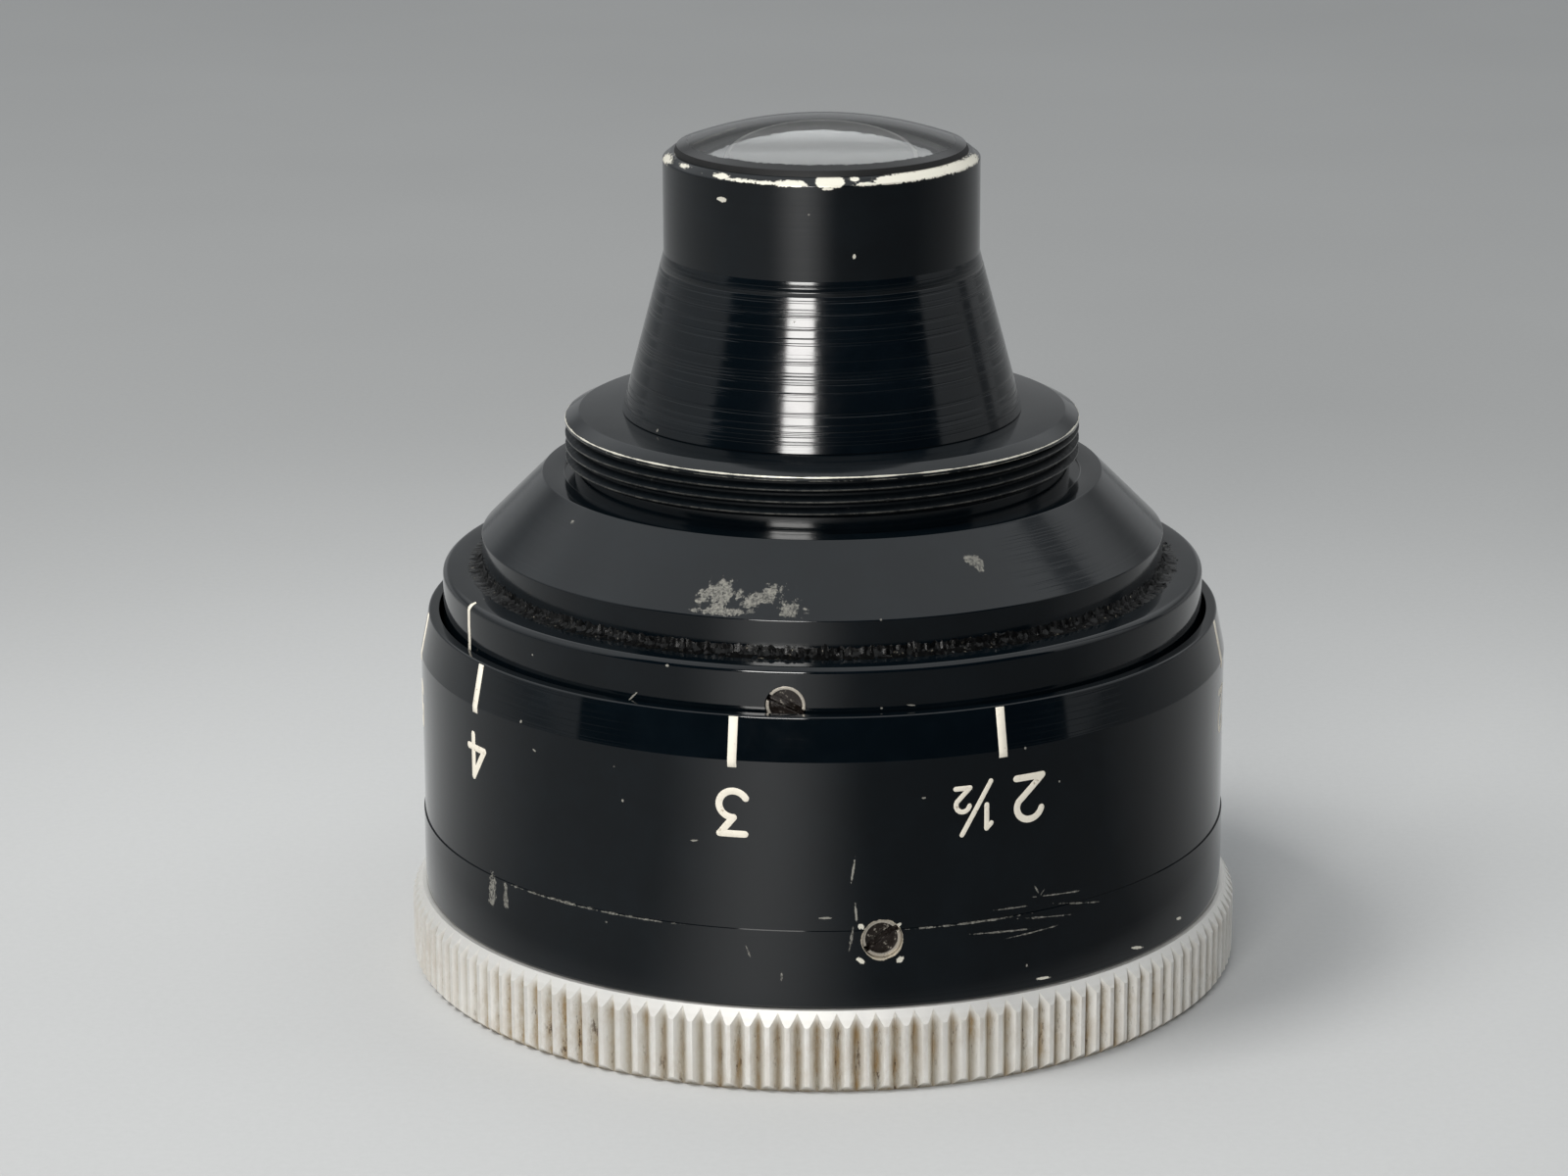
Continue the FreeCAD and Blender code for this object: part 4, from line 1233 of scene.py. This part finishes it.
class CONVERTER_OT_inner_finishes(bpy.types.Operator):
    """Finish the inner pieces whose solids are kept"""
    bl_idname = "converter.inner_finishes"
    bl_label = "Inner finishes"

    def execute(self, context):
        colours = chosen(context)[1]
        black = inner_black("barrel_inner_black", colours, 0.42, 0.60)
        ring_black = inner_black("spanner_ring_black", colours, 0.32, 0.50)
        brass = turned_brass("turned_brass", colours)
        steel = old_steel("inner_screw_steel", colours, 14.38)
        finishes = {"front_cell": black, "light_stop": black, "front_retaining_ring": ring_black,
                    "pair_retaining_ring": ring_black, "light_stop_ring": ring_black,
                    "helicoid_nut": brass, "thrust_washer": brass,
                    "guide_screws": steel, "stop_pin": steel}
        for name, finish in finishes.items():
            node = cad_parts[name]
            if not node.material_slots:
                node.data.materials.append(finish)
            for slot in node.material_slots:
                slot.material = finish
        return {"FINISHED"}


class CONVERTER_OT_stage(bpy.types.Operator):
    """Set the pale table, the soft light, the dark side of the room and the camera"""
    bl_idname = "converter.stage"
    bl_label = "Stage"

    def execute(self, context):
        scene = context.scene
        scene.view_settings.view_transform = "Standard"
        self.table(chosen(context)[1].floor)
        self.room(scene)
        self.lamp("key lamp", -14.5, 18.5, 420, 125, 105, 0.95)
        self.lamp("side lamp", -66, 57, 420, 160, 160, 1.2).visible_glossy = False
        self.camera(scene)
        return {"FINISHED"}

    def table(self, pale):
        """Pale table, darker away from the lens as a painted pool of light, with a fine speckle. What
        the lens mirrors of it in front is darker as painted shade, with a painted streak of lamp light
        down the middle."""
        bpy.ops.object.select_all(action="DESELECT")
        bpy.ops.mesh.primitive_circle_add(vertices=96, radius=4000 * MM, fill_type="NGON")
        table = bpy.context.object
        table.name = table.data.name = "table_top"
        material, shader, add = new_finish("pale_table")
        place, radius, _ = surface_parts(add)
        # painted light: a pool of light round the lens, the tone falling to two thirds away from it
        painted_light_falloff = add("MapRange", (radius, 22, 110), interpolation_type="SMOOTHSTEP")
        tone = add("Mix RGBA", (painted_light_falloff, pale, pale * 0.66))
        grain = add("TexNoise", noise(place, 0.35, 3.0, 0.7))
        cloud = add("TexNoise", noise(place, 40, 3.0, 0.5))
        grain = add("MapRange", (grain, 0.2, 0.8, -0.03, 0.03))
        cloud = add("MapRange", (cloud, 0.2, 0.8, 0.97, 1.03))
        grain = add("Math ADD", (grain, cloud))
        tone = add("Mix RGBA", (1.0, tone, grain), blend_type="MULTIPLY")

        # painted shade and a painted highlight, for mirrored rays only: the table in front is darker,
        # lighter to the left, with a streak of lamp light 14 degrees to the left of the front
        turn = bearing(add, place)
        painted_glare = add("Math SUBTRACT", (turn, -14))
        painted_glare = add("Math ABSOLUTE", (painted_glare,))
        painted_glare = add("MapRange", (painted_glare, 26, 0), interpolation_type="SMOOTHSTEP")
        left = add("MapRange", (turn, 5, -35, 0.09, 0.19))
        dim = add("Math MULTIPLY_ADD", (painted_glare, 0.52, left))
        side = add("Math ABSOLUTE", (turn,))
        front = add("MapRange", (side, 70, 130, 1.0, 0.0))
        away = add("MapRange", (radius, 22, 28))
        mirrored = add("LightPath", out="Is Glossy Ray")
        front = combined(add, "MULTIPLY", front, away, mirrored)
        give(shader, {"Base Color": add("Mix RGBA", (front, tone, dim)), "Roughness": 0.7,
                      "Specular IOR Level": 0.2})
        below = add("NewGeometry", out="Backfacing")
        show(material, add("MixShader", (below, shader.outputs[0], add("BsdfTransparent"))))
        table.data.materials.append(material)

    def room(self, scene):
        """Soft pale room, dark on the viewer's side from the table's edge up to 45 degrees, and
        dim low down elsewhere."""
        world = bpy.data.worlds.new("soft room")
        world.use_nodes = True
        scene.world = world
        add = partial(add_node, world.node_tree)
        way = add("TexCoord", out="Generated")
        turn = bearing(add, way)
        rise = add("SeparateXYZ", (way,), out="Z")
        rise = add("Math ARCSINE", (rise,))
        rise = add("Math DEGREES", (rise,))
        left = add("MapRange", (rise, 7, 15, -72, -66))
        right = add("MapRange", (rise, 7, 15, 71, 73.5))
        past_left = add("Math SUBTRACT", (turn, left))
        past_left = add("MapRange", (past_left, 0, 1))
        to_right = add("Math SUBTRACT", (right, turn))
        to_right = add("MapRange", (to_right, 0, 1))
        under = add("MapRange", (rise, 48, 44))
        window = combined(add, "MULTIPLY", past_left, to_right, under)
        post = add("Math SUBTRACT", (turn, 115))
        post = add("Math ABSOLUTE", (post,))
        post = add("MapRange", (post, 5, 4, 0.0, 0.6))
        dark = add("Math MAXIMUM", (window, post))
        above = add("MapRange", (rise, -1, 1))
        seen = add("LightPath", out="Is Camera Ray")
        unseen = add("Math SUBTRACT", (1.0, seen))
        dark = combined(add, "MULTIPLY", dark, above, unseen)

        side = add("Math ABSOLUTE", (turn,))
        behind = add("MapRange", (side, 105, 135))
        beside = add("MapRange", (rise, 5, 45, 0.34, 1.0))
        table_end = add("MapRange", (rise, 10, 15, 0.42, 0.27))
        wall = add("MapRange", (rise, 18, 30, 0.0, 0.5))
        ceiling = add("MapRange", (rise, 50, 72, 0.0, 0.23))
        back = combined(add, "ADD", table_end, wall, ceiling)
        level = add("Mix", (behind, beside, back))
        give(world.node_tree.nodes["Background"], {
            "Color": add("Mix RGBA", (dark, "#F4F7F9", "#0C1C30")),
            "Strength": add("Mix", (seen, level, 0.33))})

    def lamp(self, name, angle, rise, distance, width, height, power):
        """Soft lamp at an angle round the lens and a height above it, aimed at it."""
        light = bpy.data.lights.new(name, "AREA")
        light.shape = "RECTANGLE"
        light.size, light.size_y = width * MM, height * MM
        light.energy = power
        light.color = (1.0, 0.985, 0.96)
        lamp = bpy.data.objects.new(name, light)
        bpy.context.scene.collection.objects.link(lamp)
        aim_height = 18
        flat, up = distance * math.cos(math.radians(rise)), distance * math.sin(math.radians(rise))
        lamp.location = around(angle, flat, up + aim_height)
        aim = Vector((0, 0, aim_height * MM)) - lamp.location
        lamp.rotation_euler = aim.to_track_quat("-Z", "Y").to_euler()
        return lamp

    def camera(self, scene):
        """Camera at the photograph's place: 105 mm lens, 16 degrees down."""
        view = bpy.data.cameras.new("camera")
        view.lens, view.sensor_width = 104.88, 36.0
        view.clip_start, view.clip_end = 0.01, 20
        camera = bpy.data.objects.new("camera", view)
        bpy.context.scene.collection.objects.link(camera)
        camera.location = (-1.655 * MM, -190.12 * MM, 70.77 * MM)
        camera.rotation_mode = "ZYX"
        camera.rotation_euler = (math.radians(90 - 16.015), 0, math.radians(-0.243))
        scene.camera = camera


class CONVERTER_PT_panel(bpy.types.Panel):
    """Steps and sizes of the converter lens"""
    bl_idname = "CONVERTER_PT_panel"
    bl_label = "Converter lens"
    bl_space_type = "VIEW_3D"
    bl_region_type = "UI"
    bl_category = "Converter"

    def draw(self, context):
        for step in STEPS:
            self.layout.operator(step.bl_idname)
        for group in chosen(context):
            for name in group.bl_rna.properties.keys():
                if name not in ("rna_type", "name"):
                    self.layout.prop(group, name)


STEPS = (
    CONVERTER_OT_mount_body, CONVERTER_OT_index_ring, CONVERTER_OT_nose_tube,
    CONVERTER_OT_rear_lenses, CONVERTER_OT_front_lenses, CONVERTER_OT_grip_ring,
    CONVERTER_OT_focus_sleeve, CONVERTER_OT_small_screws, CONVERTER_OT_distance_scale,
    CONVERTER_OT_corner_grime, CONVERTER_OT_inner_finishes, CONVERTER_OT_stage,
)
CLASSES = (ConverterSizes, ConverterColours) + STEPS + (CONVERTER_PT_panel,)


def register():
    for kind in CLASSES:
        bpy.utils.register_class(kind)
    bpy.types.Scene.converter_sizes = bpy.props.PointerProperty(type=ConverterSizes)
    bpy.types.Scene.converter_colours = bpy.props.PointerProperty(type=ConverterColours)


def unregister():
    del bpy.types.Scene.converter_sizes
    del bpy.types.Scene.converter_colours
    for kind in reversed(CLASSES):
        bpy.utils.unregister_class(kind)


def main():
    register()
    bpy.ops.object.select_all(action="DESELECT")
    bpy.ops.converter.mount_body()
    bpy.ops.converter.index_ring()
    bpy.ops.converter.nose_tube()
    bpy.ops.converter.rear_lenses()
    bpy.ops.converter.front_lenses()
    bpy.ops.converter.grip_ring()
    bpy.ops.converter.focus_sleeve()
    bpy.ops.converter.small_screws()
    bpy.ops.converter.distance_scale()
    bpy.ops.converter.corner_grime()
    bpy.ops.converter.inner_finishes()
    bpy.ops.converter.stage()


if __name__ == "__main__":
    main()
